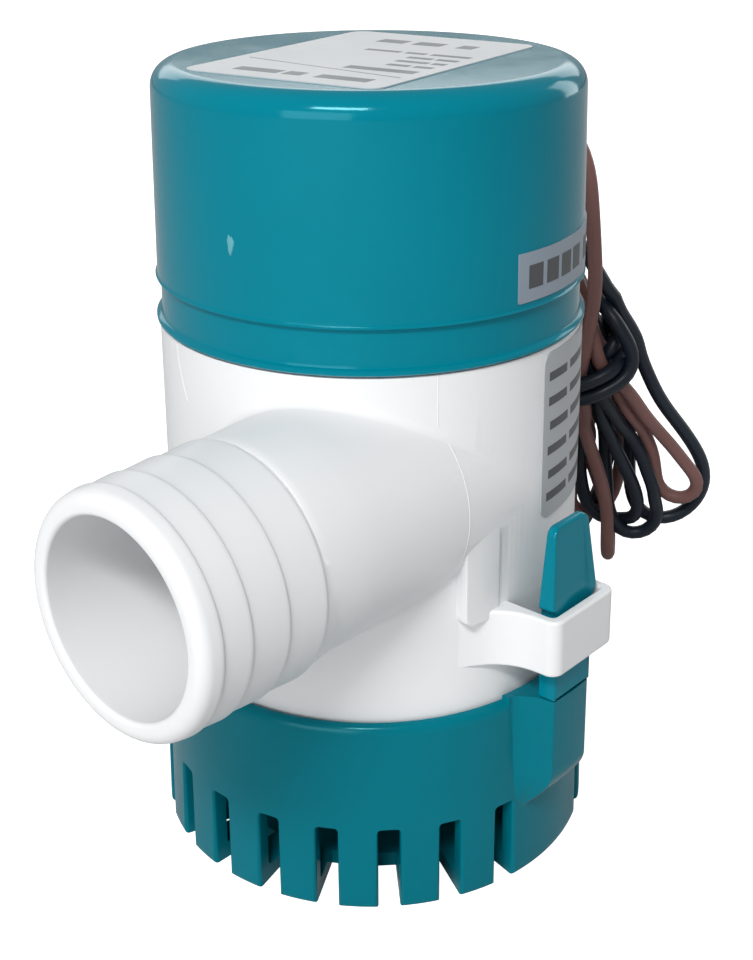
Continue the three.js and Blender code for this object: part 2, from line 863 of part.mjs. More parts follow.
function hank(low) {
  const outline = [
    ...arc(-1, 22, 7.5, 0, 180, 8),
    ...arc(-1, -20.5, 7.5, 180, 262, 5),
    ...arc(7.5, -12, 9, 290, 360, 5),
  ];
  return prism(outline, low, low + HANK_LAYER);
}

const hanks = hankFrame();
part.add(hanks);
add("black_wire_hank", hank(GAP / 2), BLACK, hanks);
add("brown_wire_hank", hank(-GAP / 2 - HANK_LAYER), BROWN, hanks);

// ---------- labels ----------

const STICKER = 0.25;

function topLabel() {
  const halfLong = 19.5;
  const halfShort = 14;
  const corner = 2;
  const outline = [
    ...arc(halfLong - corner, halfShort - corner, corner, 0, 90, 3),
    ...arc(corner - halfLong, halfShort - corner, corner, 90, 180, 3),
    ...arc(corner - halfLong, corner - halfShort, corner, 180, 270, 3),
    ...arc(halfLong - corner, corner - halfShort, corner, 270, 360, 3),
  ];
  const geometry = prism(outline, HEIGHT + 0.01, HEIGHT + 0.01 + STICKER);
  return geometry.rotateZ(rad(57)).translate(-0.3, -0.8, 0);
}

// A label that wraps round a turned wall.
const wrapped = (r, from, to, low, high) => prism(sector(r, r + STICKER, from, to, 10), low, high);

add("top_label", topLabel(), plastic(LABEL, 0.4));
add("cap_label", wrapped(CAP_MOUTH_R, 38.5, 90, 79.1, 85.2), plastic(0x7c868e, 0.4));
add("body_label", wrapped(BODY_R + 0.15, 49.5, 122, 49.2, 71.6), plastic(0x91969a, 0.35));

export default part;
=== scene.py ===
import math

import bmesh
import bpy
import numpy as np
from mathutils import Matrix, Vector


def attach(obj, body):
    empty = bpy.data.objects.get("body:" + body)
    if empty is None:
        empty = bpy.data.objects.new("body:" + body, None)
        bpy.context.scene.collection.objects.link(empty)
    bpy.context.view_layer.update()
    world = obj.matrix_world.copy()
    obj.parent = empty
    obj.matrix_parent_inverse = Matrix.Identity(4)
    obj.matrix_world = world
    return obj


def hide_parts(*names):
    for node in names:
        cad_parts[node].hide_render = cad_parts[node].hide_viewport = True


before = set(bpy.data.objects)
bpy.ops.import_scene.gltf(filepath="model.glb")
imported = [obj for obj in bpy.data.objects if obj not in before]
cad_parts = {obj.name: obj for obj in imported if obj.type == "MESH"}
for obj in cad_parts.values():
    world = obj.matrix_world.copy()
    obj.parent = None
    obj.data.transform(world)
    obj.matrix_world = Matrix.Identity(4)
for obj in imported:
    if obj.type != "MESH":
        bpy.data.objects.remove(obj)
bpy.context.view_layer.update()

MM = 0.001

# ---------- camera ----------

LENS, SENSOR = 58.237, 36.0
SHIFT_X, SHIFT_Y = -0.02095, -0.15639
EYE = (0.0, -195.97, 134.52)
YAW, PITCH, ROLL = 0.976, 18.557, -0.204  # degrees: to the right, downwards, tilt


def make_camera():
    data = bpy.data.cameras.new("camera")
    data.lens, data.sensor_width = LENS, SENSOR
    data.shift_x, data.shift_y = SHIFT_X, SHIFT_Y
    data.clip_start, data.clip_end = 0.01, 10.0
    yaw, pitch, roll = (math.radians(a) for a in (YAW, PITCH, ROLL))
    ahead = Vector((math.sin(yaw) * math.cos(pitch), math.cos(yaw) * math.cos(pitch), -math.sin(pitch)))
    right = Vector((math.cos(yaw), -math.sin(yaw), 0))
    up = right.cross(ahead)
    side = right * math.cos(roll) + up * math.sin(roll)
    top = up * math.cos(roll) - right * math.sin(roll)
    camera = bpy.data.objects.new("camera", data)
    turn = Matrix((side, top, -ahead)).transposed().to_4x4()
    camera.matrix_world = Matrix.Translation(Vector(EYE) * MM) @ turn
    bpy.context.scene.collection.objects.link(camera)
    bpy.context.scene.camera = camera


make_camera()

# ---------- dimensions shared with the CAD ----------

HEIGHT = 105.0
BODY_R = 27.65
BODY_BOTTOM = 19.5
SHOULDER = 72.05
BASE_R = 29.7
RIM_Z = 26.6
OUT_AZ, OUT_Z, OUT_OFFSET, OUT_REACH = -42.0, 53.4, 12.9, 55.7
BORE_R = 11.6
NECK_R, NECK_Z, NECK_OFFSET = 14.3, 54.2, 13.3
LATCHES = {"front": 48.5, "rear": 228.5}
HINGE_Z = 27.1
LATCH_FACE = 33.8  # from the axis to a latch's outer face
SLOTS_A_SIDE, FIRST_SLOT, SLOT_STEP = 10, 34.65, 15.7  # the latter two in degrees
SCREW_X = 13.0
GLAND_AZ, GLAND_Z, GLAND_TIP = 160.0, 88.0, 35.2
WIRE_R = 1.2
WIRE_SPREAD = 1.45


def out_of(azimuth):
    """The horizontal direction that an azimuth faces."""
    a = math.radians(azimuth)
    return np.array([math.sin(a), -math.cos(a), 0.0])


OUT_DIR = out_of(OUT_AZ)
OUT_SIDE = out_of(OUT_AZ + 90)
UP = np.array([0.0, 0.0, 1.0])

# ---------- materials ----------


def new_material(name):
    m = bpy.data.materials.new(name)
    m.use_nodes = True
    tree = m.node_tree
    return m, tree, tree.nodes["Principled BSDF"]


def node(tree, kind, **values):
    n = tree.nodes.new(kind)
    for key, value in values.items():
        if key in n.inputs:
            n.inputs[key].default_value = value
        else:
            setattr(n, key, value)
    return n


def noise(tree, scale, detail=4.0, rough=0.5, stretch=None):
    coords = node(tree, "ShaderNodeTexCoord")
    source = coords.outputs["Object"]
    if stretch:
        mapping = node(tree, "ShaderNodeMapping")
        mapping.inputs["Scale"].default_value = stretch
        tree.links.new(source, mapping.inputs["Vector"])
        source = mapping.outputs["Vector"]
    n = node(tree, "ShaderNodeTexNoise", Scale=scale, Detail=detail, Roughness=rough)
    tree.links.new(source, n.inputs["Vector"])
    return n.outputs["Fac"]


def ramp(tree, source, stops):
    """stops: [(position, grey or colour), ...]"""
    r = node(tree, "ShaderNodeValToRGB")
    elements = r.color_ramp.elements
    while len(elements) < len(stops):
        elements.new(0.5)
    for element, (at, value) in zip(elements, stops):
        element.position = at
        colour = value if isinstance(value, (tuple, list)) else (value,) * 3
        element.color = (*colour, 1.0)
    tree.links.new(source, r.inputs["Fac"])
    return r.outputs["Color"]


def bump(tree, height, strength, distance):
    b = node(tree, "ShaderNodeBump", Strength=strength, Distance=distance)
    tree.links.new(height, b.inputs["Height"])
    return b.outputs["Normal"]


def shade(colour, factor):
    return tuple(min(1.0, c * factor) for c in colour)


def finish_of(
    name, colour, rough=(0.3, 0.4), variation=0.06, grain=900.0, grain_depth=0.00002, metal=0.0,
    stretch=None, specular=0.5, ior=1.46, specks=0.0, speck_colour=(0.1, 0.1, 0.1), tint=(1, 1, 1),
):
    """A moulded, cast, drawn or rubbed surface: mottled colour, uneven gloss, fine grain."""
    m, tree, shader = new_material(name)
    shader.inputs["Metallic"].default_value = metal
    shader.inputs["IOR"].default_value = ior
    shader.inputs["Specular IOR Level"].default_value = specular
    shader.inputs["Specular Tint"].default_value = (*tint, 1.0)
    cloud = noise(tree, 38.0, 5.0, 0.55, stretch)
    base = ramp(tree, cloud, [(0.3, shade(colour, 1 - variation)), (0.7, shade(colour, 1 + variation))])
    if specks:
        dots = noise(tree, 520.0, 2.0, 0.4)
        mask = ramp(tree, dots, [(0.0, specks), (0.24, specks), (0.27, 0.0)])
        mix = node(tree, "ShaderNodeMix", data_type="RGBA")
        tree.links.new(mask, mix.inputs["Factor"])
        tree.links.new(base, mix.inputs["A"])
        mix.inputs["B"].default_value = (*speck_colour, 1.0)
        base = mix.outputs["Result"]
    tree.links.new(base, shader.inputs["Base Color"])
    smear = noise(tree, 120.0, 6.0, 0.6, stretch)
    tree.links.new(ramp(tree, smear, [(0.3, rough[0]), (0.72, rough[1])]), shader.inputs["Roughness"])
    fine = noise(tree, grain, 3.0, 0.6, stretch)
    tree.links.new(bump(tree, fine, 0.25, grain_depth), shader.inputs["Normal"])
    return m


TEAL_GLOSS = {"grain": 1400.0, "tint": (0.35, 0.92, 1.0)}
TEAL = finish_of("teal_plastic", (0.0, 0.18, 0.248), (0.08, 0.14), 0.035, specular=0.32, **TEAL_GLOSS)
# Painted shade: the base gets a darker copy of the cap's and latches' teal, standing in for the shade low on
# the pump.
SHADED_BASE_TEAL = finish_of("base_teal_painted_shade", (0.0, 0.15, 0.2), (0.14, 0.24), 0.04, specular=0.3, **TEAL_GLOSS)
WHITE = finish_of(
    "white_plastic", (0.775, 0.785, 0.80), (0.34, 0.46), 0.015, grain=1200.0, grain_depth=0.000015
)
INNER = finish_of("inner_plastic", (0.68, 0.68, 0.66), (0.42, 0.55), 0.03)
BLACK_RUBBER = finish_of("black_rubber", (0.014, 0.014, 0.015), (0.5, 0.68), 0.15, ior=1.5)
WIRE_GRAIN = {"grain": 700.0, "grain_depth": 0.00004}
BROWN_WIRE = finish_of("brown_wire", (0.22, 0.11, 0.1), (0.36, 0.52), 0.14, specular=0.3, **WIRE_GRAIN)
BLACK_WIRE = finish_of("black_wire", (0.009, 0.016, 0.028), (0.34, 0.48), 0.2, specular=0.4, **WIRE_GRAIN)
TOP_LABEL = finish_of("top_label_vinyl", (0.52, 0.55, 0.575), (0.3, 0.4), 0.02, grain=2200.0)
FOIL = {"variation": 0.05, "metal": 0.15, "grain": 2200.0}
CAP_LABEL = finish_of("cap_label_vinyl", (0.26, 0.31, 0.37), (0.34, 0.46), **FOIL)
BODY_LABEL = finish_of("body_label_vinyl", (0.40, 0.425, 0.445), (0.34, 0.46), **FOIL)
SCUFF = finish_of("scuffed_teal", (0.10, 0.36, 0.42), (0.35, 0.6), 0.25, grain_depth=0.00006)
INK = finish_of("label_ink", (0.06, 0.065, 0.072), (0.4, 0.5), 0.1)
FAINT_INK = finish_of("faint_ink", (0.16, 0.18, 0.2), (0.4, 0.5), 0.1)


def bare_metal(name, colour, rough, variation, drawn=None, specks=0.0, metal=1.0):
    """A metal whose marks are drawn out, or packed, along the pump's axis by the factor drawn."""
    stretch = (1, 1, drawn) if drawn else None
    return finish_of(name, colour, rough, variation, metal=metal, stretch=stretch, specks=specks)


# The plain CAD pieces that are shown as they are, all of them inside the pump.
CARRIED = {
    "intake_plate": INNER,
    "impeller": finish_of("impeller_plastic", (0.62, 0.62, 0.6), (0.4, 0.52), 0.04),
    "cap_gasket": BLACK_RUBBER,
    "shaft_seal": BLACK_RUBBER,
    "motor_can": bare_metal("plated_can", (0.42, 0.43, 0.44), (0.24, 0.42), 0.1, drawn=0.08),
    "magnet_1": finish_of("ferrite", (0.045, 0.045, 0.05), (0.6, 0.8), 0.2, specks=0.4),
    "lower_bearing": bare_metal("bronze", (0.42, 0.24, 0.1), (0.35, 0.5), 0.12, specks=0.5),
    "motor_shaft": bare_metal("ground_steel", (0.6, 0.61, 0.62), (0.12, 0.25), 0.04, drawn=6),
    "armature_core": bare_metal("laminations", (0.2, 0.2, 0.21), (0.4, 0.6), 0.15, drawn=30, metal=0.9),
    "windings": bare_metal("enamelled_copper", (0.5, 0.17, 0.05), (0.18, 0.32), 0.2, drawn=14, metal=0.9),
    "commutator": bare_metal("bare_copper", (0.6, 0.27, 0.12), (0.2, 0.35), 0.12, drawn=8),
    "end_bell": finish_of("natural_nylon", (0.7, 0.66, 0.56), (0.4, 0.55), 0.03),
    "brush_1": finish_of(
        "carbon", (0.03, 0.03, 0.03), (0.5, 0.75), 0.25, specks=0.5, speck_colour=(0.2, 0.1, 0.05)
    ),
    "terminal_1": bare_metal("tinned_brass", (0.6, 0.5, 0.3), (0.2, 0.35), 0.1),
    "seal_retainer": bare_metal("plated_washer", (0.5, 0.5, 0.5), (0.25, 0.4), 0.08),
    "motor_screw_1": bare_metal("zinc_screw", (0.55, 0.56, 0.55), (0.25, 0.4), 0.1),
    "inner_lead_1": BROWN_WIRE,
    "inner_lead_2": BLACK_WIRE,
}
SAME_AS = {
    "magnet_2": "magnet_1",
    "upper_bearing": "lower_bearing",
    "brush_2": "brush_1",
    "brush_arm_1": "terminal_1",
    "brush_arm_2": "terminal_1",
    "terminal_2": "terminal_1",
    "motor_screw_2": "motor_screw_1",
}
for name, same in SAME_AS.items():
    CARRIED[name] = CARRIED[same]
for name, material in CARRIED.items():
    for material_slot in bpy.data.objects[name].material_slots:
        material_slot.material = material

# ---------- mesh helpers ----------


def mesh_of(points, faces, name="part"):
    mesh = bpy.data.meshes.new(name)
    mesh.from_pydata([tuple(p) for p in np.asarray(points, float) * MM], [], [tuple(f) for f in faces])
    mesh.update()
    return mesh


def object_of(mesh, name):
    o = bpy.data.objects.new(name, mesh)
    bpy.context.scene.collection.objects.link(o)
    return o


def piece(name, meshes, material, body, nodes=(), sharp=35.0):
    """One shown piece, from one or more closed meshes."""
    o = object_of(joined(meshes, name), name)
    o.data.materials.append(material)
    o.data.shade_smooth()
    o.data.set_sharp_from_angle(angle=math.radians(sharp))
    modifier = o.modifiers.new("normals", "WEIGHTED_NORMAL")
    modifier.keep_sharp, modifier.weight = True, 75
    graph = bpy.context.evaluated_depsgraph_get()
    made = bpy.data.meshes.new_from_object(o.evaluated_get(graph))
    o.modifiers.clear()
    o.data = made
    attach(o, body)
    if nodes:
        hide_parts(*nodes)
    return o


def joined(meshes, name):
    points, faces = [], []
    for mesh in meshes:
        start = len(points)
        points += [v.co / MM for v in mesh.vertices]
        faces += [[start + i for i in p.vertices] for p in mesh.polygons]
    return mesh_of(points, faces, name)


def lathe(profile, n, place=None):
    """Turns [radius, height] points. They start and end on the axis, or close on themselves."""
    points, rings = [], []
    for r, z in profile:
        count = 1 if r < 1e-6 else n
        rings.append((len(points), count))
        for k in range(count):
            a = 2 * math.pi * k / n
            points.append((r * math.cos(a), r * math.sin(a), z))
    open_ended = profile[0][0] < 1e-6 and profile[-1][0] < 1e-6
    pairs = list(zip(rings[:-1], rings[1:])) + ([] if open_ended else [(rings[-1], rings[0])])
    faces = []
    for (a, ca), (b, cb) in pairs:
        for k in range(n):
            j = (k + 1) % n
            if ca == 1 and cb == 1:
                continue
            if ca == 1:
                faces.append((a, b + j, b + k))
            elif cb == 1:
                faces.append((a + k, a + j, b))
            else:
                faces.append((a + k, a + j, b + j, b + k))
    mesh = mesh_of(points, faces)
    if place is not None:
        mesh.transform(place)
    outward(mesh)
    return mesh


def outward(mesh):
    """Makes a closed mesh's faces look outwards."""
    volume = 0.0
    for p in mesh.polygons:
        corners = [mesh.vertices[i].co for i in p.vertices]
        for k in range(1, len(corners) - 1):
            volume += corners[0].dot(corners[k].cross(corners[k + 1]))
    if volume < 0:
        mesh.flip_normals()


def axes(side, up, along, origin):
    """A placement from three directions and an origin in millimetres."""
    m = Matrix((Vector(side), Vector(up), Vector(along))).transposed().to_4x4()
    return Matrix.Translation(Vector(origin) * MM) @ m


def turned_to(azimuth):
    return Matrix.Rotation(math.radians(azimuth), 4, "Z")


def arc(x, y, r, start, end, steps):
    angles = np.radians(np.linspace(start, end, steps + 1))
    return [(x + r * math.cos(a), y + r * math.sin(a)) for a in angles]


def rounded(corners, steps=6):
    """An outline from (x, y, radius) corners, each rounded in steps."""
    out = []
    for k, (x, y, r) in enumerate(corners):
        p = np.array([x, y])
        before = np.array(corners[k - 1][:2]) - p
        after = np.array(corners[(k + 1) % len(corners)][:2]) - p
        before, after = before / np.linalg.norm(before), after / np.linalg.norm(after)
        half = math.acos(np.clip(before @ after, -1, 1)) / 2
        if r <= 0 or half > math.radians(89):
            out.append(tuple(p))
            continue
        reach = r / math.tan(half)
        centre = p + (before + after) / np.linalg.norm(before + after) * r / math.sin(half)
        a, b = p + before * reach - centre, p + after * reach - centre
        sweep = math.atan2(a[0] * b[1] - a[1] * b[0], a @ b)
        for i in range(steps + 1):
            c, s = math.cos(sweep * i / steps), math.sin(sweep * i / steps)
            out.append(tuple(centre + [a[0] * c - a[1] * s, a[0] * s + a[1] * c]))
    return out


def inset(outline, by):
    """The outline moved inwards along its own normals."""
    p = np.array(outline)
    ahead, behind = np.roll(p, -1, 0) - p, p - np.roll(p, 1, 0)
    ahead /= np.linalg.norm(ahead, axis=1, keepdims=True) + 1e-12
    behind /= np.linalg.norm(behind, axis=1, keepdims=True) + 1e-12
    normal = np.stack([-(ahead + behind)[:, 1], (ahead + behind)[:, 0]], 1)
    normal /= np.linalg.norm(normal, axis=1, keepdims=True) + 1e-12
    area = 0.5 * np.sum(p[:, 0] * np.roll(p[:, 1], -1) - np.roll(p[:, 0], -1) * p[:, 1])
    return p + normal * by * (1 if area > 0 else -1)


def skin(rings, closed=False):
    """A closed solid through rings of equally many points: capped at both ends, or joined end to end."""
    count, n = len(rings), len(rings[0])
    faces = [] if closed else [tuple(range(n))[::-1], tuple(range((count - 1) * n, count * n))]
    for k in range(count if closed else count - 1):
        a, b = k * n, (k + 1) % count * n
        for i in range(n):
            j = (i + 1) % n
            faces.append((a + i, a + j, b + j, b + i))
    mesh = mesh_of([p for ring in rings for p in ring], faces)
    outward(mesh)
    return mesh


def prism(outline, low, high, edge, steps=3):
    """An upright prism over an outline, its top and bottom edges rounded by edge."""
    turns = [math.pi / 2 * i / steps for i in range(steps + 1)]
    levels = [(edge * (1 - math.sin(t)), low + edge * (1 - math.cos(t))) for t in turns]
    levels += [(edge * (1 - math.cos(t)), high - edge * (1 - math.sin(t))) for t in turns]
    return skin([[(x, y, z) for x, y in (inset(outline, by) if by else outline)] for by, z in levels])


def sheet_solid(grid, back):
    """A closed solid between a front grid of points and the same grid moved back."""
    rows, cols = grid.shape[:2]
    front, rear = grid.reshape(-1, 3), back.reshape(-1, 3)
    size = rows * cols
    faces = []
    for i in range(rows - 1):
        for j in range(cols - 1):
            a = i * cols + j
            faces.append((a, a + 1, a + cols + 1, a + cols))
            faces.append((size + a, size + a + cols, size + a + cols + 1, size + a + 1))
    edge = (
        [j for j in range(cols)]
        + [i * cols + cols - 1 for i in range(1, rows)]
        + [(rows - 1) * cols + j for j in range(cols - 2, -1, -1)]
        + [i * cols for i in range(rows - 2, 0, -1)]
    )
    for a, b in zip(edge, edge[1:] + edge[:1]):
        faces.append((b, a, size + a, size + b))
    mesh = mesh_of(np.vstack([front, rear]), faces)
    outward(mesh)
    return mesh


def combine(mesh, *steps):
    """Joins or cuts a mesh: each step is ("UNION" or "DIFFERENCE", mesh)."""
    target = object_of(mesh, "target")
    tool = object_of(mesh, "tool")
    for operation, other in steps:
        tool.data = other
        modifier = target.modifiers.new("boolean", "BOOLEAN")
        modifier.operation, modifier.solver, modifier.object = operation, "EXACT", tool
        graph = bpy.context.evaluated_depsgraph_get()
        made = bpy.data.meshes.new_from_object(target.evaluated_get(graph))
        target.modifiers.clear()
        target.data = made
    made = target.data
    bpy.data.objects.remove(target)
    bpy.data.objects.remove(tool)
    clean = bmesh.new()
    clean.from_mesh(made)
    bmesh.ops.remove_doubles(clean, verts=clean.verts, dist=0.003 * MM)
    bmesh.ops.dissolve_degenerate(clean, edges=clean.edges, dist=0.003 * MM)
    clean.to_mesh(made)
    clean.free()
    return made


def along_outlet(z=OUT_Z, offset=OUT_OFFSET):
    return axes(OUT_SIDE, UP, OUT_DIR, OUT_SIDE * offset + UP * z)


# ---------- leads and their hank ----------

GLAND_OUT = out_of(GLAND_AZ)
GLAND_SIDE = np.array([GLAND_OUT[1], -GLAND_OUT[0], 0.0])
HANK_DOWN = np.array([0.45, 0.20, -0.87])
HANK_DOWN /= np.linalg.norm(HANK_DOWN)
HANK_ACROSS = np.array([0.888, 0.0, 0.459])
HANK_BACK = np.cross(HANK_ACROSS, HANK_DOWN)
TIE = np.array([36.8, 52.0, 44.0])  # the middle of the hank where it is tied
LANE = 2.5  # from one strand to the next in the tie
STEP = 1.4  # from one point of a lead to the next


def in_gland(distance, which):
    p = GLAND_OUT * distance + GLAND_SIDE * which * WIRE_SPREAD
    return [p[0], p[1], GLAND_Z]


def lane(across, back, down=0.0):
    """A strand's place in the tie: 0 to 4 from left to right, 0 to 3 from front to back."""
    return TIE + HANK_ACROSS * (across - 2) * LANE + HANK_BACK * (back - 1.5) * LANE + HANK_DOWN * down


def fold(centre, side, down, r=5.0):
    """A round end fold: from one side of its centre, past its tip, to the other side."""
    centre, side, down = (np.array(v, float) for v in (centre, side, down))
    down /= np.linalg.norm(down)
    side -= down * (side @ down)
    side /= np.linalg.norm(side)
    angles = np.radians([0, 45, 90, 135, 180])
    return [centre + r * (down * math.sin(a) - side * math.cos(a)) for a in angles]


def top_fold(x, y, z, side):
    """A fold at the hank's upper end, behind the pump."""
    return fold((x, y, z), side, -HANK_DOWN)


def low_fold(x, y, z, side):
    return fold((x, y, z), side, (0.1, 0.1, -1.0))


def smooth_line(points):
    """An even, rounded polyline on the curve through the points."""
    p = np.array([np.array(q, float) for q in points])
    p = np.vstack([2 * p[0] - p[1], p, 2 * p[-1] - p[-2]])
    out = []
    for a, b, c, d in zip(p[:-3], p[1:-2], p[2:-1], p[3:]):
        t0 = 0.0
        t1 = t0 + math.sqrt(np.linalg.norm(b - a)) + 1e-9
        t2 = t1 + math.sqrt(np.linalg.norm(c - b)) + 1e-9
        t3 = t2 + math.sqrt(np.linalg.norm(d - c)) + 1e-9
        for t in np.linspace(t1, t2, 24, endpoint=False):
            a1 = (t1 - t) / (t1 - t0) * a + (t - t0) / (t1 - t0) * b
            a2 = (t2 - t) / (t2 - t1) * b + (t - t1) / (t2 - t1) * c
            a3 = (t3 - t) / (t3 - t2) * c + (t - t2) / (t3 - t2) * d
            b1 = (t2 - t) / (t2 - t0) * a1 + (t - t0) / (t2 - t0) * a2
            b2 = (t3 - t) / (t3 - t1) * a2 + (t - t1) / (t3 - t1) * a3
            out.append((t2 - t) / (t2 - t1) * b1 + (t - t1) / (t2 - t1) * b2)
    out.append(p[-2])
    out = even(np.array(out), STEP)
    bent = 9  # the points before this one leave the gland in a straight line
    for _ in range(4):
        out[bent:-1] += 0.5 * ((out[bent - 1 : -2] + out[bent + 1 :]) / 2 - out[bent:-1])
    return even(out, STEP)


def even(line, step):
    along = np.concatenate([[0], np.cumsum(np.linalg.norm(np.diff(line, axis=0), axis=1))])
    at = np.linspace(0, along[-1], int(round(along[-1] / step)) + 1)
    return np.stack([np.interp(at, along, line[:, k]) for k in range(3)], 1)


def tie_turns(turns=2.1, steps=12):
    """The end of the black lead, wound round the hank from its right-hand side."""
    out = []
    for k in range(int(turns * steps) + 1):
        a = math.radians(-28) - 2 * math.pi * k / steps
        c, s = math.cos(a), math.sin(a)
        size = (abs(c) ** 2.4 + abs(s) ** 2.4) ** (-1 / 2.4)
        down = 1.6 - 2.9 * k / steps
        out.append(TIE + HANK_ACROSS * 7.9 * size * c + HANK_BACK * 6.9 * size * s + HANK_DOWN * down)
    return out


BROWN_ROUTE = [
    in_gland(GLAND_TIP - 4, 1), in_gland(GLAND_TIP + 0.3, 1), in_gland(GLAND_TIP + 4, 1),
    (18.6, 41.6, 88.9), (23.6, 43.4, 89.5), (28.6, 42.9, 88.8), (32.3, 42.0, 85.8), (34.1, 41.2, 81.0),
    (34.9, 40.9, 74.5), (35.5, 41.1, 68.0), (36.0, 42.2, 62.5), (35.8, 44.5, 55.0), lane(1, 0),
    # the left fold, in front of the others
    (37.0, 55.0, 31.5), (40.2, 57.0, 22.5), (42.2, 57.5, 14.0), *low_fold(43.0, 62.0, 8.8, (0.2, 1.0, 0.0)),
    (40.5, 65.0, 20.0), (34.5, 58.0, 34.0), lane(0, 1),
    *top_fold(26.0, 49.5, 65.0, (-0.2, 1.0, 0.1)), lane(0, 2),
    (32.0, 61.5, 24.0), *low_fold(31.0, 66.5, 8.0, (-0.3, 0.9, 0.0)), (31.0, 68.0, 22.0), lane(0, 3),
    *top_fold(27.0, 58.0, 63.0, (0.9, 0.3, 0.2)), lane(1, 3),
    (39.5, 65.0, 24.0), *low_fold(41.0, 69.5, 13.0, (0.9, 0.3, 0.2)), (45.0, 64.5, 26.0), lane(2, 3),
    *top_fold(28.5, 52.5, 66.0, (0.2, -1.0, 0.0)), (36.3, 47.4, 52.3), lane(3.1, 0),
    # the right fold
    (43.3, 50.0, 41.2), (46.2, 52.0, 36.2), (51.0, 55.0, 30.0), (55.6, 57.0, 24.2), (58.2, 58.0, 20.4),
    (58.7, 59.0, 16.8), (56.6, 60.2, 14.0), (53.8, 60.6, 14.0), (51.6, 60.4, 16.6), (50.3, 59.0, 22.0),
    (47.8, 57.0, 28.7), (44.9, 55.0, 33.3), (42.4, 53.0, 38.4), lane(3, 1),
    *top_fold(29.0, 53.5, 60.5, (-1.0, 0.2, 0.0)), lane(1, 1),
    (33.0, 57.0, 28.0), *low_fold(31.0, 60.0, 10.0, (-0.9, 0.2, 0.0)),
    (25.5, 59.0, 26.0), (26.5, 54.0, 40.0), (28.0, 49.5, 52.0), (29.5, 47.0, 60.0),
]

BLACK_ROUTE = [
    in_gland(GLAND_TIP - 4, -1), in_gland(GLAND_TIP + 0.3, -1), in_gland(GLAND_TIP + 4, -1),
    (15.4, 43.4, 88.3), (20.6, 46.6, 88.2), (26.4, 47.2, 86.6), (30.2, 46.6, 82.4), (31.6, 46.2, 76.5),
    (32.3, 46.4, 70.0), (35.2, 46.4, 65.6), (38.6, 48.0, 60.0), (42.4, 51.0, 53.0), (46.0, 53.4, 45.4),
    # the outer fold on the right
    (50.0, 55.6, 37.0), (55.2, 58.4, 29.8), (59.4, 60.6, 22.8), (60.4, 62.0, 18.0), (58.6, 63.0, 13.0),
    (54.0, 63.4, 10.0), (49.2, 64.4, 11.0), (46.8, 63.0, 18.0), (45.6, 59.0, 30.0), lane(4, 2),
    *top_fold(31.5, 55.0, 63.0, (-0.2, -1.0, 0.0)), lane(2, 0),
    # the two folds in the middle
    (42.4, 54.0, 34.0), (46.0, 56.0, 31.0), (49.1, 58.0, 23.7), (51.4, 60.0, 16.3), (51.6, 61.2, 11.2),
    (49.6, 62.2, 7.2), (46.6, 62.6, 6.4), (44.0, 63.6, 9.0), (42.6, 64.0, 18.0), (41.0, 59.4, 32.0),
    lane(2, 2),
    *top_fold(29.5, 55.5, 66.5, (-0.6, -0.6, 0.0)), lane(2, 1),
    (42.0, 56.0, 29.2), (47.2, 59.0, 18.1), (48.2, 61.0, 12.2), (45.4, 63.4, 8.6), (41.4, 65.4, 9.4),
    (38.0, 63.6, 18.0), (37.0, 59.0, 30.0), lane(1, 2),
    *top_fold(28.0, 57.0, 60.5, (0.6, 0.7, 0.1)), lane(3, 3),
    (39.6, 67.0, 28.0), *low_fold(36.5, 70.5, 8.5, (0.9, 0.1, 0.0)), (44.6, 66.0, 30.0), lane(4, 3),
    (39.6, 56.4, 54.0), (37.8, 53.0, 58.0), (38.2, 48.8, 57.4), (40.6, 46.4, 53.6), (43.0, 46.4, 49.8),
    *tie_turns(), lane(2.4, 4.2, 7.0), lane(2.8, 4.6, 14.0), lane(3.4, 4.8, 20.0),
]


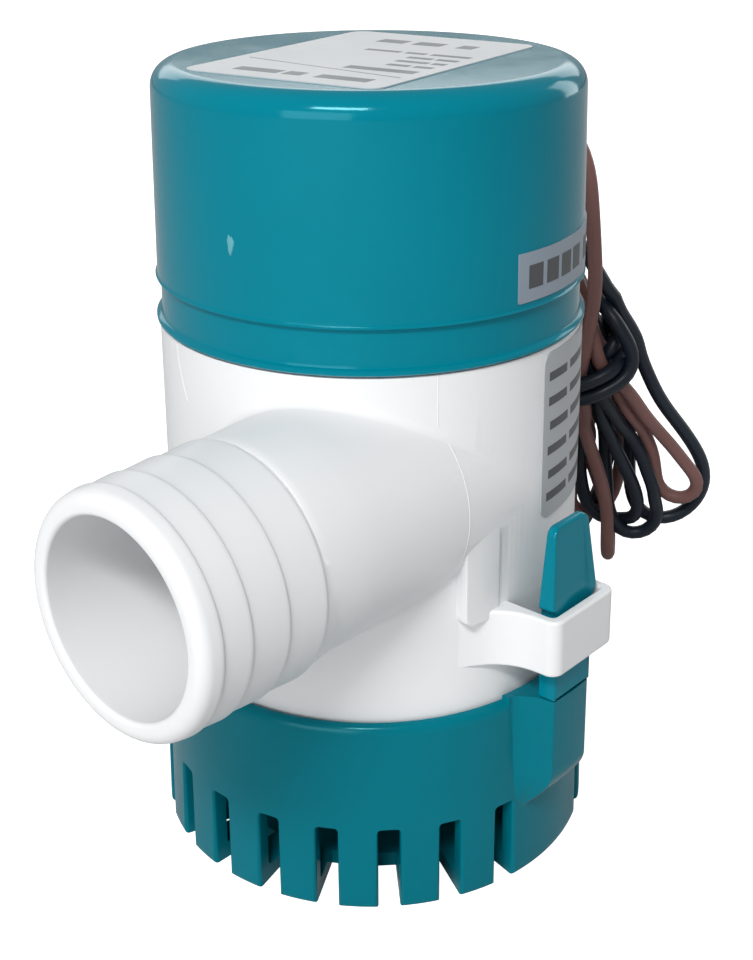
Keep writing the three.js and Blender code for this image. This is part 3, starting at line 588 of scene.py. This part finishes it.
def settle(lines, held, rounds=140, tightest=4.6):
    """Pushes strands apart until they lie beside each other, clear of the pump and the floor."""
    first = np.vstack(lines)
    p = first.copy()
    starts = np.cumsum([0] + [len(q) for q in lines])
    which = np.concatenate([np.full(len(q), k) for k, q in enumerate(lines)])
    order = np.arange(len(p))
    loose = np.ones(len(p), bool)
    for k, count in enumerate(held):
        loose[starts[k] : starts[k] + count] = False
    link = order[:-1][which[:-1] == which[1:]]
    rest = np.linalg.norm(p[link + 1] - p[link], axis=1)
    pairs = np.triu(~((which[:, None] == which) & (np.abs(order[:, None] - order) < 5)), 1)
    apart = 2 * WIRE_R + 0.06
    base_top, beside_base, beside_body = 30.0, 30.2, 28.4  # a height, then how near the axis a strand comes
    for turn in range(rounds):
        # Strands that touch push each other apart, a little further than they need to.
        square = (p**2).sum(1)
        i, j = np.nonzero((square[:, None] + square - 2 * p @ p.T < apart**2) & pairs)
        gap = p[i] - p[j]
        far = np.linalg.norm(gap, axis=1, keepdims=True) + 1e-9
        push, count = np.zeros_like(p), np.ones(len(p))
        np.add.at(push, i, gap * (apart / far - 1) / 2)
        np.add.at(push, j, gap * (1 - apart / far) / 2)
        np.add.at(count, np.concatenate([i, j]), 0.35)
        p += (push / count[:, None] * 1.3) * loose[:, None]
        # Each point keeps its distance from the next, so that a lead keeps its length.
        for _ in range(3):
            gap = p[link + 1] - p[link]
            fix = (0.5 - 0.5 * rest / np.linalg.norm(gap, axis=1))[:, None] * gap
            shift = np.zeros_like(p)
            np.add.at(shift, link, fix)
            np.add.at(shift, link + 1, -fix)
            p += shift * 0.9 * loose[:, None]
        # A bend that is too tight is opened, over one step and over three.
        for span in (1, 3):
            inner = loose.copy()
            for a, b in zip(starts[:-1], starts[1:]):
                inner[a : a + span] = inner[b - span : b] = False
            i = order[inner]
            sag = (p[i - span] + p[i + span]) / 2 - p[i]
            size = np.linalg.norm(sag, axis=1) + 1e-9
            allowed = (span * STEP) ** 2 / (2 * tightest)
            p[i] += sag * (0.5 * np.maximum(size - allowed, 0) / size)[:, None]
        # Until the last rounds, each strand is drawn back towards its route.
        p[loose] += (0.01 if turn < rounds - 30 else 0.0) * (first[loose] - p[loose])
        # No strand goes into the floor or the pump.
        p[:, 2] = np.maximum(p[:, 2], WIRE_R + 0.05)
        reach = np.linalg.norm(p[:, :2], axis=1)
        least = np.where(p[:, 2] > base_top, beside_body, beside_base) + WIRE_R
        p[:, :2] *= np.where(loose, np.maximum(least / reach, 1.0), 1.0)[:, None]
    for _ in range(3):
        for a, b in zip(starts[:-1], starts[1:]):
            i = order[a + held[0] : b - 1]
            p[i] += 0.4 * ((p[i - 1] + p[i + 1]) / 2 - p[i])
    return [p[a:b] for a, b in zip(starts[:-1], starts[1:])]


def lead(name, line, exit_point, material, nodes):
    data = bpy.data.curves.new(name, "CURVE")
    data.dimensions = "3D"
    data.bevel_depth, data.bevel_resolution, data.use_fill_caps = WIRE_R * MM, 4, True
    spline = data.splines.new("POLY")
    spline.points.add(len(line) - 1)
    for point, at in zip(spline.points, line * MM):
        point.co = (*at, 1.0)
    spline.use_smooth = True
    o = object_of(data, name)
    o.data.materials.append(material)
    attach(o, "pump")
    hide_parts(*nodes)
    return o


HELD = (44, 42)  # points of each lead from the gland to the hank, which stay where they are
brown_line, black_line = settle([smooth_line(BROWN_ROUTE), smooth_line(BLACK_ROUTE)], HELD)
lead(
    "brown_wire", brown_line, in_gland(GLAND_TIP, 1), BROWN_WIRE,
    ("brown_lead", "brown_wire_hank"),
)
lead(
    "black_wire", black_line, in_gland(GLAND_TIP, -1), BLACK_WIRE,
    ("black_lead", "black_wire_hank"),
)

# ---------- cable gland ----------


def along_gland():
    return axes(GLAND_SIDE, UP, GLAND_OUT, UP * GLAND_Z)


def gland():
    profile = [
        (0, 23.9), (4.4, 23.9), (4.6, 24.1), (4.6, 24.8), (3.6, 25.2), (3.6, 28.45), (4.7, 28.6), (5.0, 28.9),
        (5.0, 29.9), (4.7, 30.3), (4.3, 30.45),
    ]
    for k in range(4):
        z = 30.6 + k * 1.12
        r = 4.25 - 0.28 * k
        profile += [(r - 0.45, z), (r - 0.45, z + 0.3), (r, z + 0.5), (r, z + 0.95)]
    profile += [(3.0, GLAND_TIP - 0.1), (2.8, GLAND_TIP), (0, GLAND_TIP)]
    return lathe(profile, 64, along_gland())


piece("strain_relief", [gland()], BLACK_RUBBER, "pump", ["cable_gland"])

# ---------- motor cap ----------


def cap():
    wall_top, wall_foot, ring_r, lip_r = 27.45, 27.75, 27.3, 28.05
    seam, edge = 78.15, 3.0
    outside = [
        (26.2, 72.35),
        (27.85, 72.35),
        (lip_r, 72.5),
        (lip_r, 72.8),
        (27.85, 73.0),
        (27.5, 73.2),
        (ring_r + 0.05, 73.6),
        (ring_r, seam - 0.35),
        (27.5, seam - 0.2),
        (27.95, seam - 0.08),
        (27.98, seam + 0.04),
        (27.85, seam + 0.14),
        (wall_foot, seam + 0.3),
        (wall_foot, seam + 0.8),
        (wall_top + 0.1, 95.0),
        *arc(wall_top - edge, HEIGHT - edge, edge, 0, 90, 14),
        (12.0, HEIGHT),
        (0.0, HEIGHT),
    ]
    inside = [
        (0.0, HEIGHT - 2),
        (24.4, HEIGHT - 2),
        (25.4, HEIGHT - 3),
        (25.7, 81.6),
        (26.2, 81.0),
    ]
    shell = lathe([*inside, *outside], 192)
    seat = lathe([(0, 25.6), (6, 25.6), (6, 28.1), (5.7, 28.4), (0, 28.4)], 48, along_gland())
    hole = lathe([(0, 20), (3.9, 20), (3.9, 32), (0, 32)], 48, along_gland())
    return combine(shell, ("UNION", seat), ("DIFFERENCE", hole))


piece("cap_shell", [cap()], TEAL, "pump", ["motor_cap"])


def scuff(azimuth=-35.9, z=86.8, wide=0.55, tall=1.35, rings=5, n=28):
    """A small raised scuff on the cap's side."""
    points = [out_of(azimuth) * (BODY_R + 0.16) + UP * z]
    side = out_of(azimuth + 90)
    for k in range(1, rings + 1):
        t = k / rings
        for i in range(n):
            a = 2 * math.pi * i / n
            uneven = 1 + 0.16 * math.sin(3 * a + 0.6) + 0.08 * math.sin(7 * a)
            s, h = wide * t * uneven * math.cos(a), tall * t * uneven * math.sin(a)
            depth = BODY_R + 0.16 * (1 - t**3) - (0.25 if k == rings else 0.0)
            points.append(out_of(azimuth) * math.sqrt(depth**2 - s * s) + side * s + UP * (z + h))
    points.append(out_of(azimuth) * (BODY_R - 0.3) + UP * z)
    faces = [(0, 1 + i, 1 + (i + 1) % n) for i in range(n)]
    for k in range(rings - 1):
        for i in range(n):
            a, b = 1 + k * n + i, 1 + k * n + (i + 1) % n
            faces.append((a, a + n, b + n, b))
    faces += [(len(points) - 1, 1 + (rings - 1) * n + (i + 1) % n, 1 + (rings - 1) * n + i) for i in range(n)]
    mesh = mesh_of(points, faces)
    outward(mesh)
    return mesh


piece("cap_scuff", [scuff()], SCUFF, "pump", ["motor_cap"])

# ---------- pump body ----------


def latch_loop():
    """The square loop at azimuth 0 that a latch passes through, on flared arms."""
    flare = [(13.4, 24.0), (12.2, 24.84), (11.0, 25.64), (10.0, 26.4), (9.2, 27.05), (8.4, 27.9), (7.6, 29.1)]
    flare += [(7.05, 30.5), (6.78, 31.9)]
    outer = [*flare, (6.7, 33.2), *arc(5.0, 33.9, 1.7, 0, 90, 8)]
    inner = [*arc(4.65, 33.55, 0.6, 90, 0, 4), (5.25, 24.6)]
    right = [(x, -y) for x, y in outer]
    left = [(-x, y) for x, y in reversed(right)]
    pocket = [(x, -y) for x, y in inner]
    across = [(-x, y) for x, y in reversed(pocket)]
    return prism([*right, *left, *across, *pocket], 32.4, 40.1, 0.42, 4)


def outlet():
    crests = (38.05, 43.65, 49.0, 53.0)
    profile = [(0, 33), (13.9, 33), (14.4, 37.3)]
    for k, reach in enumerate(crests):
        top = 14.72 - 0.06 * k
        root = 14.42 - 0.05 * k
        profile += [(root, reach - 0.22), (root + 0.08, reach - 0.14), (top - 0.04, reach)]
        profile += [(top, reach + 0.12), (top - 0.03, reach + 0.5)]
    profile += arc(12.75, OUT_REACH - 1.65, 1.65, 8, 90, 9)
    profile += [(12.4, OUT_REACH - 0.01), (0, OUT_REACH - 0.01)]
    return lathe(profile, 144, along_outlet())


def neck():
    root = [(0, -7), (10.4, -7), (12.9, -4), (13.9, -1.8), (NECK_R, 0), (NECK_R, 29)]
    profile = [*root, (14.24, 31.5), (14.08, 34.3), (13.92, 36.6), (13.8, 37.4), (13.65, 37.6), (0, 37.6)]
    return lathe(profile, 144, along_outlet(NECK_Z, NECK_OFFSET))


def bore():
    ease = 0.55
    lip = [
        (BORE_R + ease - ease * math.cos(t), OUT_REACH - ease + ease * math.sin(t))
        for t in np.radians([0, 30, 60, 85])
    ]
    profile = [(0, -1), (BORE_R - 0.2, -1), *lip, (BORE_R + ease, OUT_REACH + 2), (0, OUT_REACH + 2)]
    return lathe(profile, 128, along_outlet())


def neck_fillet(r_top=1.6, r_low=2.1, n=220, steps=8):
    """The rounded inside corner between the neck and the body, closed round the neck."""
    rings = []
    for k in range(n):
        a = 2 * math.pi * k / n
        r = r_top + (r_low - r_top) * (0.5 - 0.5 * math.sin(a)) ** 1.5
        side = NECK_OFFSET + (NECK_R + r) * math.cos(a)
        side = min(side, BODY_R + r - 0.02)
        reach = math.sqrt(max((BODY_R + r) ** 2 - side**2, 0.0))
        centre = OUT_SIDE * side + OUT_DIR * reach + UP * (NECK_Z + (NECK_R + r) * math.sin(a))
        to_body = -np.array([centre[0], centre[1], 0.0])
        to_body /= np.linalg.norm(to_body)
        axis_point = OUT_SIDE * NECK_OFFSET + OUT_DIR * reach + UP * NECK_Z
        to_neck = axis_point - centre
        to_neck /= np.linalg.norm(to_neck)
        angle = math.acos(np.clip(to_body @ to_neck, -1, 1))
        ring = []
        for i in range(steps + 1):
            t = i / steps
            way = to_body * math.sin((1 - t) * angle) + to_neck * math.sin(t * angle)
            way /= max(math.sin(angle), 1e-6)
            ring.append(centre + way * (r + 0.015))
        ring.append(centre + (to_neck + to_body) / 2 * (r + 1.2) + (to_neck + to_body) * 0.6)
        rings.append(ring)
    return skin(rings, closed=True)


def pad():
    """A wedge-shaped pad under the neck, beside the front latch: it stands out most at its left edge."""
    low, high = 38.9, 55.0
    tall, short = 2.0, 0.45
    azimuths, heights = np.linspace(20.8, 35.2, 60), np.linspace(low - 1.2, high, 60)
    grid = np.zeros((len(heights), len(azimuths), 3))
    for i, z in enumerate(heights):
        for j, a in enumerate(azimuths):
            beside = min(a - 22.0, 34.0 - a) * math.radians(BODY_R)
            inside = 1.2 - math.hypot(max(1.2 - beside, 0), max(1.2 - (z - low), 0))
            rise = smooth_step(inside / 0.55 + 0.5) * smooth_step((high - 0.3 - z) / 3.5)
            stand = 0.3 + tall + (short - tall) * min(max((a - 22.3) / 11.7, 0.0), 1.0)
            grid[i, j] = out_of(a) * (BODY_R - 0.3 + stand * rise) + UP * z
    back = grid.copy()
    back[..., :2] *= 0.95
    return sheet_solid(grid, back)


def smooth_step(t):
    t = min(max(t, 0.0), 1.0)
    return t * t * (3 - 2 * t)


def body():
    outside = lathe(
        [
            (0, BODY_BOTTOM), (27.2, BODY_BOTTOM), (27.5, 19.65), (BODY_R, 20.0), (BODY_R, 71.75),
            (27.55, 71.98), (27.35, SHOULDER), (25.9, SHOULDER), (25.9, 75.9), (24.4, 75.9), (24.4, 77.7),
            (25.9, 77.7), (25.9, 79.4), (25.3, 80), (0, 80),
        ],
        192,
    )
    chambers = lathe(
        [
            (0, 18), (25.4, 18), (25.4, 64.8), (24.6, 65.6), (8, 65.6), (8, 61.5), (5.3, 61.5), (5.3, 66.2),
            (2.2, 66.2), (2.2, 68.3), (22.5, 68.3), (23.5, 69.3), (23.5, 82), (0, 82),
        ],
        96,
    )
    front_loop, rear_loop = latch_loop(), latch_loop()
    front_loop.transform(turned_to(LATCHES["front"]))
    rear_loop.transform(turned_to(LATCHES["rear"]))
    return combine(
        outside,
        ("UNION", neck()),
        ("UNION", outlet()),
        ("UNION", front_loop),
        ("UNION", rear_loop),
        ("DIFFERENCE", chambers),
        ("DIFFERENCE", bore()),
    )


def ridge(points, normals, width=0.2, height=0.05):
    """A fine raised line along points on a surface."""
    p, up = np.array(points), np.array(normals)
    ahead = np.gradient(p, axis=0)
    side = np.cross(ahead, up)
    side /= np.linalg.norm(side, axis=1, keepdims=True)
    section = [(-1.0, -0.1), (-0.55, 0.7), (0.0, 1.0), (0.55, 0.7), (1.0, -0.1), (0.0, -1.5)]
    return skin(np.stack([p + side * (s * width / 2) + up * (h * height) for s, h in section], 1))


def wall_line(azimuths, heights):
    """A ridge on the body's wall."""
    ways = [out_of(a) for a in azimuths]
    return ridge([way * BODY_R + UP * z for way, z in zip(ways, heights)], ways)


def parting_lines():
    """The fine lines that the halves of the body's mould leave."""
    # Down the wall, then over the neck in an upright plane across the outlet.
    reach = 13.7
    normals = [out_of(16.2)] * 8
    points = [normals[0] * BODY_R + UP * z for z in np.linspace(71.9, 65.6, 8)]
    for a in np.radians(np.linspace(52, -38, 40)):
        way = OUT_SIDE * math.cos(a) + UP * math.sin(a)
        middle = OUT_SIDE * NECK_OFFSET + OUT_DIR * (reach - 0.25 * math.cos(a)) + UP * NECK_Z
        points.append(middle + way * (NECK_R + 0.01))
        normals.append(way)
    heights = np.linspace(71.9, 64.8, 10)
    return [
        ridge(points, normals),
        wall_line(-61.0 + 5.0 * ((71.9 - heights) / 7.1) ** 1.6, heights),
        wall_line([195.0] * 30, np.linspace(71.9, 27.5, 30)),
    ]


body_meshes = [body(), neck_fillet(), pad(), *parting_lines()]
piece("body_shell", body_meshes, WHITE, "pump", ["pump_body"])

# ---------- strainer base ----------


def pillar():
    """The stiff lower half of a latch, at azimuth 0: a face that stands out of the wall on flared sides."""
    half = [np.linspace(0, 3.5, 8), np.linspace(3.5, 4.4, 16), np.linspace(4.4, 6.6, 18)]
    half = np.unique(np.concatenate(half))
    sides = np.concatenate([-half[:0:-1], half])
    heights = np.concatenate([np.linspace(8.4, 17.5, 44), np.linspace(18, HINGE_Z + 0.1, 12)])
    grid = np.zeros((len(heights), len(sides), 3))
    for i, z in enumerate(heights):
        ramp_up = smooth_step((z - 9.2) / 7.2) ** 0.75
        for j, s in enumerate(sides):
            rise = 0.5 + 0.5 * smooth_step((4.2 - abs(s)) / 0.5)
            if abs(s) > 4.2:
                rise = 0.5 * max(1 - (abs(s) - 4.2) / 1.9, 0.0) ** 1.6
            base = math.sqrt(BASE_R**2 - s * s) - 0.35
            grid[i, j] = (s, -base - (LATCH_FACE - 0.015 * s * s - base) * rise * ramp_up, z)
    back = grid.copy()
    back[..., 1] = -np.sqrt((BASE_R - 1.4) ** 2 - grid[..., 0] ** 2)
    return sheet_solid(grid, back)


def slot_cutter():
    """A slot at azimuth 0, its outer edges eased."""
    levels = [(21.2, 0.0), (29.05, 0.0), (29.3, 0.06), (29.5, 0.2), (29.62, 0.38), (29.9, 0.75), (33.0, 0.75)]
    half, low, high = 1.4, -1.6, 11.5
    rings = []
    for r, ease in levels:
        wide, top = half + ease, high + ease
        corners = [(-wide, low, 0), (wide, low, 0), (wide, top, 0.5), (-wide, top, 0.5)]
        rings.append([(x, -r, z) for x, z in rounded(corners, 3)])
    return skin(rings)


def strainer():
    skirt, wall = BODY_R + 0.3, BASE_R - 2.2
    shell = lathe(
        [
            (0, 0), (29.35, 0), (29.6, 0.12), (29.72, 0.4), (29.72, 1.0), (29.35, RIM_Z - 1.6),
            (29.25, RIM_Z - 0.9), (29.0, RIM_Z - 0.35), (28.6, RIM_Z - 0.08), (28.2, RIM_Z),
            (skirt + 0.05, RIM_Z - 0.2), (skirt, RIM_Z - 0.5), (skirt, 19.2), (wall, 19.2), (wall, 2.6),
            (wall - 0.6, 2.0), (0, 2.0),
        ],
        192,
    )
    cutters, pillars = [], []
    for turn in (0, 180):
        for i in range(SLOTS_A_SIDE):
            cutter = slot_cutter()
            cutter.transform(turned_to(FIRST_SLOT - i * SLOT_STEP + turn))
            cutters.append(cutter)
    holes = []
    for side in (-SCREW_X, SCREW_X):
        hole = lathe([(0, -1), (2.2, -1), (2.2, 1.2), (4.2, 3.2), (0, 3.2)], 40)
        hole.transform(Matrix.Translation(Vector((side, 0, 0)) * MM))
        holes.append(hole)
    for azimuth in LATCHES.values():
        stand = pillar()
        stand.transform(turned_to(azimuth))
        pillars.append(stand)
    return combine(
        shell,
        *[("UNION", p) for p in pillars],
        ("DIFFERENCE", joined(cutters, "cutters")),
        ("DIFFERENCE", joined(holes, "holes")),
    )


# The strainer's darker teal is painted shade.
piece("strainer_shell", [strainer()], SHADED_BASE_TEAL, "base", ["strainer_base"])


def finger():
    """The springy upper half of a latch, at azimuth 0, with its catch above the loop."""
    low, high = HINGE_Z + 0.25, 51.0
    outline = rounded(
        [
            (-3.95, low, 0.2), (3.95, low, 0.2), (3.95, 39.6, 0.5), (4.85, 40.5, 0.45), (3.62, high, 1.3),
            (-3.62, high, 1.3), (-4.85, 40.5, 0.45), (-3.95, 39.6, 0.5),
        ],
        6,
    )
    levels = [(0.3, 0.0), (0.09, 0.09), (0.0, 0.3), (0.0, -0.35), (0.1, -0.1), (0.35, 0.0)]
    rings = []
    for k, (by, step) in enumerate(levels):
        ring = []
        for x, z in inset(outline, by):
            outer = LATCH_FACE - 0.9 * (max(z - 40.6, 0) / 10.4) ** 1.15
            inner = 31.2 + 0.4 * smooth_step((z - 39) / 3.0)
            ring.append((x, -(inner + step if k < 3 else outer + step), z))
        rings.append(ring)
    return skin(rings)


for end, azimuth in LATCHES.items():
    made = finger()
    made.transform(turned_to(azimuth))
    piece("finger_" + end, [made], TEAL, "latch_" + end, ["latch_finger_" + end], sharp=40)

# ---------- labels ----------


def wrapped(r, thickness=0.14):
    """Bends a flat outline of [azimuth in radians times r, height] round a wall."""

    def bend(x, y, depth):
        a = x / r
        return (math.sin(a) * (r + depth * thickness), -math.cos(a) * (r + depth * thickness), y)

    return bend


def sticker(corners, bend, low=-1.0, high=1.0, split=1.2):
    """A thin sheet over rounded corners. Long edges are split so that the sheet can bend."""
    outline = rounded(corners)
    xs = [p[0] for p in outline]
    left, right = min(xs), max(xs)
    columns = np.linspace(left, right, max(2, int((right - left) / split)) + 1)
    columns = np.unique(np.round(np.concatenate([columns, xs]), 4))
    tops, bottoms = [], []
    p = np.array(outline)
    for x in columns:
        crossings = []
        for a, b in zip(p, np.roll(p, -1, 0)):
            x0, x1 = min(a[0], b[0]), max(a[0], b[0])
            if x0 - 1e-4 <= x <= x1 + 1e-4:
                if x1 - x0 < 1e-6:
                    crossings += [a[1], b[1]]
                else:
                    crossings.append(a[1] + (b[1] - a[1]) * (np.clip(x, x0, x1) - a[0]) / (b[0] - a[0]))
        tops.append(max(crossings))
        bottoms.append(min(crossings))
    grid = np.zeros((2, len(columns), 3))
    back = grid.copy()
    for j, x in enumerate(columns):
        top, bottom = tops[j], bottoms[j]
        if top - bottom < 0.02:
            top, bottom = (top + bottom) / 2 + 0.01, (top + bottom) / 2 - 0.01
        for i, y in enumerate((bottom, top)):
            grid[i, j] = bend(x, y, high)
            back[i, j] = bend(x, y, low)
    return sheet_solid(grid, back)


def rect(left, low, right, high, r=0):
    return [(left, low, r), (right, low, r), (right, high, r), (left, high, r)]


PRINT = {"low": 0.6, "high": 1.16}  # from inside the sticker to just above its face


def bars(rows, bend, tall):
    """Rows of plain bars in place of print: each row is (height, [(from, to), ...])."""
    return [sticker(rect(a, z, b, z + tall), bend, **PRINT) for z, spans in rows for a, b in spans]


WALL = BODY_R + 0.03
per_degree = math.radians(WALL)
body_bend = wrapped(WALL)
body_sheet = sticker(rect(49.5 * per_degree, 49.2, 122 * per_degree, 71.4, 1.6), body_bend)
piece("body_sticker", [body_sheet], BODY_LABEL, "pump", ["body_label"])
words = [(0, 5.2), (6.4, 12.8), (14.2, 16.4), (17.8, 25.0), (26.4, 29.8)]
indents = (0.0, 0.0, 0.4, 0.0, 0.3, 0.0)
rows = []
for k, z in enumerate((67.6, 64.3, 61.0, 57.7, 54.4, 51.4)):
    start, scale, shown = 51.8 * per_degree + indents[k], 0.92 + 0.03 * k, 5 - (k * 2) % 3
    rows.append((z, [(start + a * scale, start + b * scale) for a, b in words[:shown]]))
piece("body_print", bars(rows, body_bend, 1.15), INK, "pump", ["body_label"])

CAP_WALL_R = 27.74
cap_degree = math.radians(CAP_WALL_R)
cap_bend = wrapped(CAP_WALL_R)
cap_sheet = sticker(rect(38.5 * cap_degree, 79.0, 90 * cap_degree, 85.1, 0.2), cap_bend, low=-2.0)
piece("cap_sticker", [cap_sheet], CAP_LABEL, "pump", ["cap_label"])
start = 42.0 * cap_degree
blocks = [(0, 2.6), (3.4, 6.0), (6.8, 9.4), (10.2, 12.8), (15.2, 20.2)]
cap_row = (80.6, [(start + a, start + b) for a, b in blocks])
piece("cap_print", bars([cap_row], cap_bend, 2.9), INK, "pump", ["cap_label"])


TOP_MIDDLE, TOP_TURN = (-0.3, -0.8), math.radians(57)  # where the top label lies and how it is turned


def flat_bend(x, y, depth):
    c, s = math.cos(TOP_TURN), math.sin(TOP_TURN)
    return (
        TOP_MIDDLE[0] + x * c - y * s,
        TOP_MIDDLE[1] + x * s + y * c,
        HEIGHT + 0.03 + 0.1 * depth,
    )


top_sheet = sticker(rect(-19.5, -14, 19.5, 14, 2.0), flat_bend)
piece("top_sticker", [top_sheet], TOP_LABEL, "pump", ["top_label"])
# Print stands across the label: a rule, then rows of bars at [place along the label, height, spans].
TOP_PRINT = [
    (-16.4, 2.2, [(-10.5, -3.2), (-1.2, 1.4), (2.2, 8.6)]),
    (-8.8, 1.9, [(-12.0, -2.2)]),
    (-4.6, 1.2, [(-12.0, -9.4), (-8.8, -5.6)]),
    (-1.6, 1.2, [(-12.0, -10.2), (-9.6, -5.0)]),
    (1.4, 1.2, [(-12.0, -9.0), (-8.4, -4.8)]),
    (4.6, 1.2, [(-12.0, -6.4), (-5.6, -2.6), (-1.8, 3.4)]),
    (11.6, 2.6, [(-8.4, -6.0), (-3.6, 0.6), (2.0, 6.2)]),
]


def across_label(x, y, depth):
    return flat_bend(y, x, depth)


top_bars = [mesh for at, tall, spans in TOP_PRINT for mesh in bars([(at, spans)], across_label, tall)]
rule = [(-12.3, -11.9, 0), (12.2, -8.1, 0), (12.2, -7.85, 0), (-12.3, -11.65, 0)]
top_bars.append(sticker(rule, across_label, **PRINT))
piece("top_print", top_bars, FAINT_INK, "pump", ["top_label"])

# ---------- floor and light ----------


def seen_and_cast(tree, seen, cast, kind):
    """One plain tone for the camera and another for the light that it throws."""
    path = node(tree, "ShaderNodeLightPath")
    shown, thrown = (node(tree, kind, Color=(tone, tone, tone, 1.0), Strength=1.0) for tone in (seen, cast))
    mix = node(tree, "ShaderNodeMixShader")
    tree.links.new(path.outputs["Is Camera Ray"], mix.inputs[0])
    tree.links.new(thrown.outputs[0], mix.inputs[1])
    tree.links.new(shown.outputs[0], mix.inputs[2])
    return mix.outputs[0]


FLOOR_LIFT = 1.0  # how much lighter the floor looks than it is lit
FLOOR_Z = -0.05  # just under the pump's underside


def floor():
    corners = [(x, y, FLOOR_Z) for x, y in ((-3000, -3000), (3000, -3000), (3000, 3000), (-3000, 3000))]
    data = mesh_of(corners, [(0, 1, 2, 3)], "floor")
    m, tree, shader = new_material("pale_floor")
    shader.inputs["Base Color"].default_value = (0.55, 0.55, 0.55, 1)
    shader.inputs["Roughness"].default_value = 0.8
    shader.inputs["Specular IOR Level"].default_value = 0.1
    shader.inputs["Emission Color"].default_value = (1, 1, 1, 1)
    path = node(tree, "ShaderNodeLightPath")
    lift = node(tree, "ShaderNodeMath", operation="MULTIPLY")
    lift.inputs[1].default_value = FLOOR_LIFT
    tree.links.new(path.outputs["Is Camera Ray"], lift.inputs[0])
    tree.links.new(lift.outputs[0], shader.inputs["Emission Strength"])
    data.materials.append(m)
    object_of(data, "floor")


def area_light(name, at, towards, size, power, colour=(1, 1, 1)):
    data = bpy.data.lights.new(name, "AREA")
    data.shape, data.size, data.size_y = "RECTANGLE", size[0], size[1]
    data.energy, data.color = power, colour
    o = object_of(data, name)
    o.location = Vector(at)
    o.rotation_euler = (Vector(towards) - Vector(at)).to_track_quat("-Z", "Y").to_euler()


def light():
    world = bpy.data.worlds.new("studio")
    bpy.context.scene.world = world
    world.use_nodes = True
    tree = world.node_tree
    tree.nodes.remove(tree.nodes["Background"])
    sky = seen_and_cast(tree, 1.0, 0.34, "ShaderNodeBackground")
    tree.links.new(sky, tree.nodes["World Output"].inputs[0])
    middle = (0, 0, 0.05)
    area_light("key", (-0.2, -0.67, 0.74), middle, (0.4, 0.14), 6.4, (1.0, 0.995, 0.98))
    area_light("fill", (-0.42, -0.84, 0.28), middle, (0.6, 0.5), 3.2)
    area_light("back", (0.0, 1.1, 0.5), (0, 0, 0.1), (1.5, 0.4), 2.9)
    area_light("rim", (0.8, 0.6, 0.3), middle, (0.3, 0.6), 1.7)


floor()
light()
bpy.context.scene.view_settings.view_transform = "Standard"
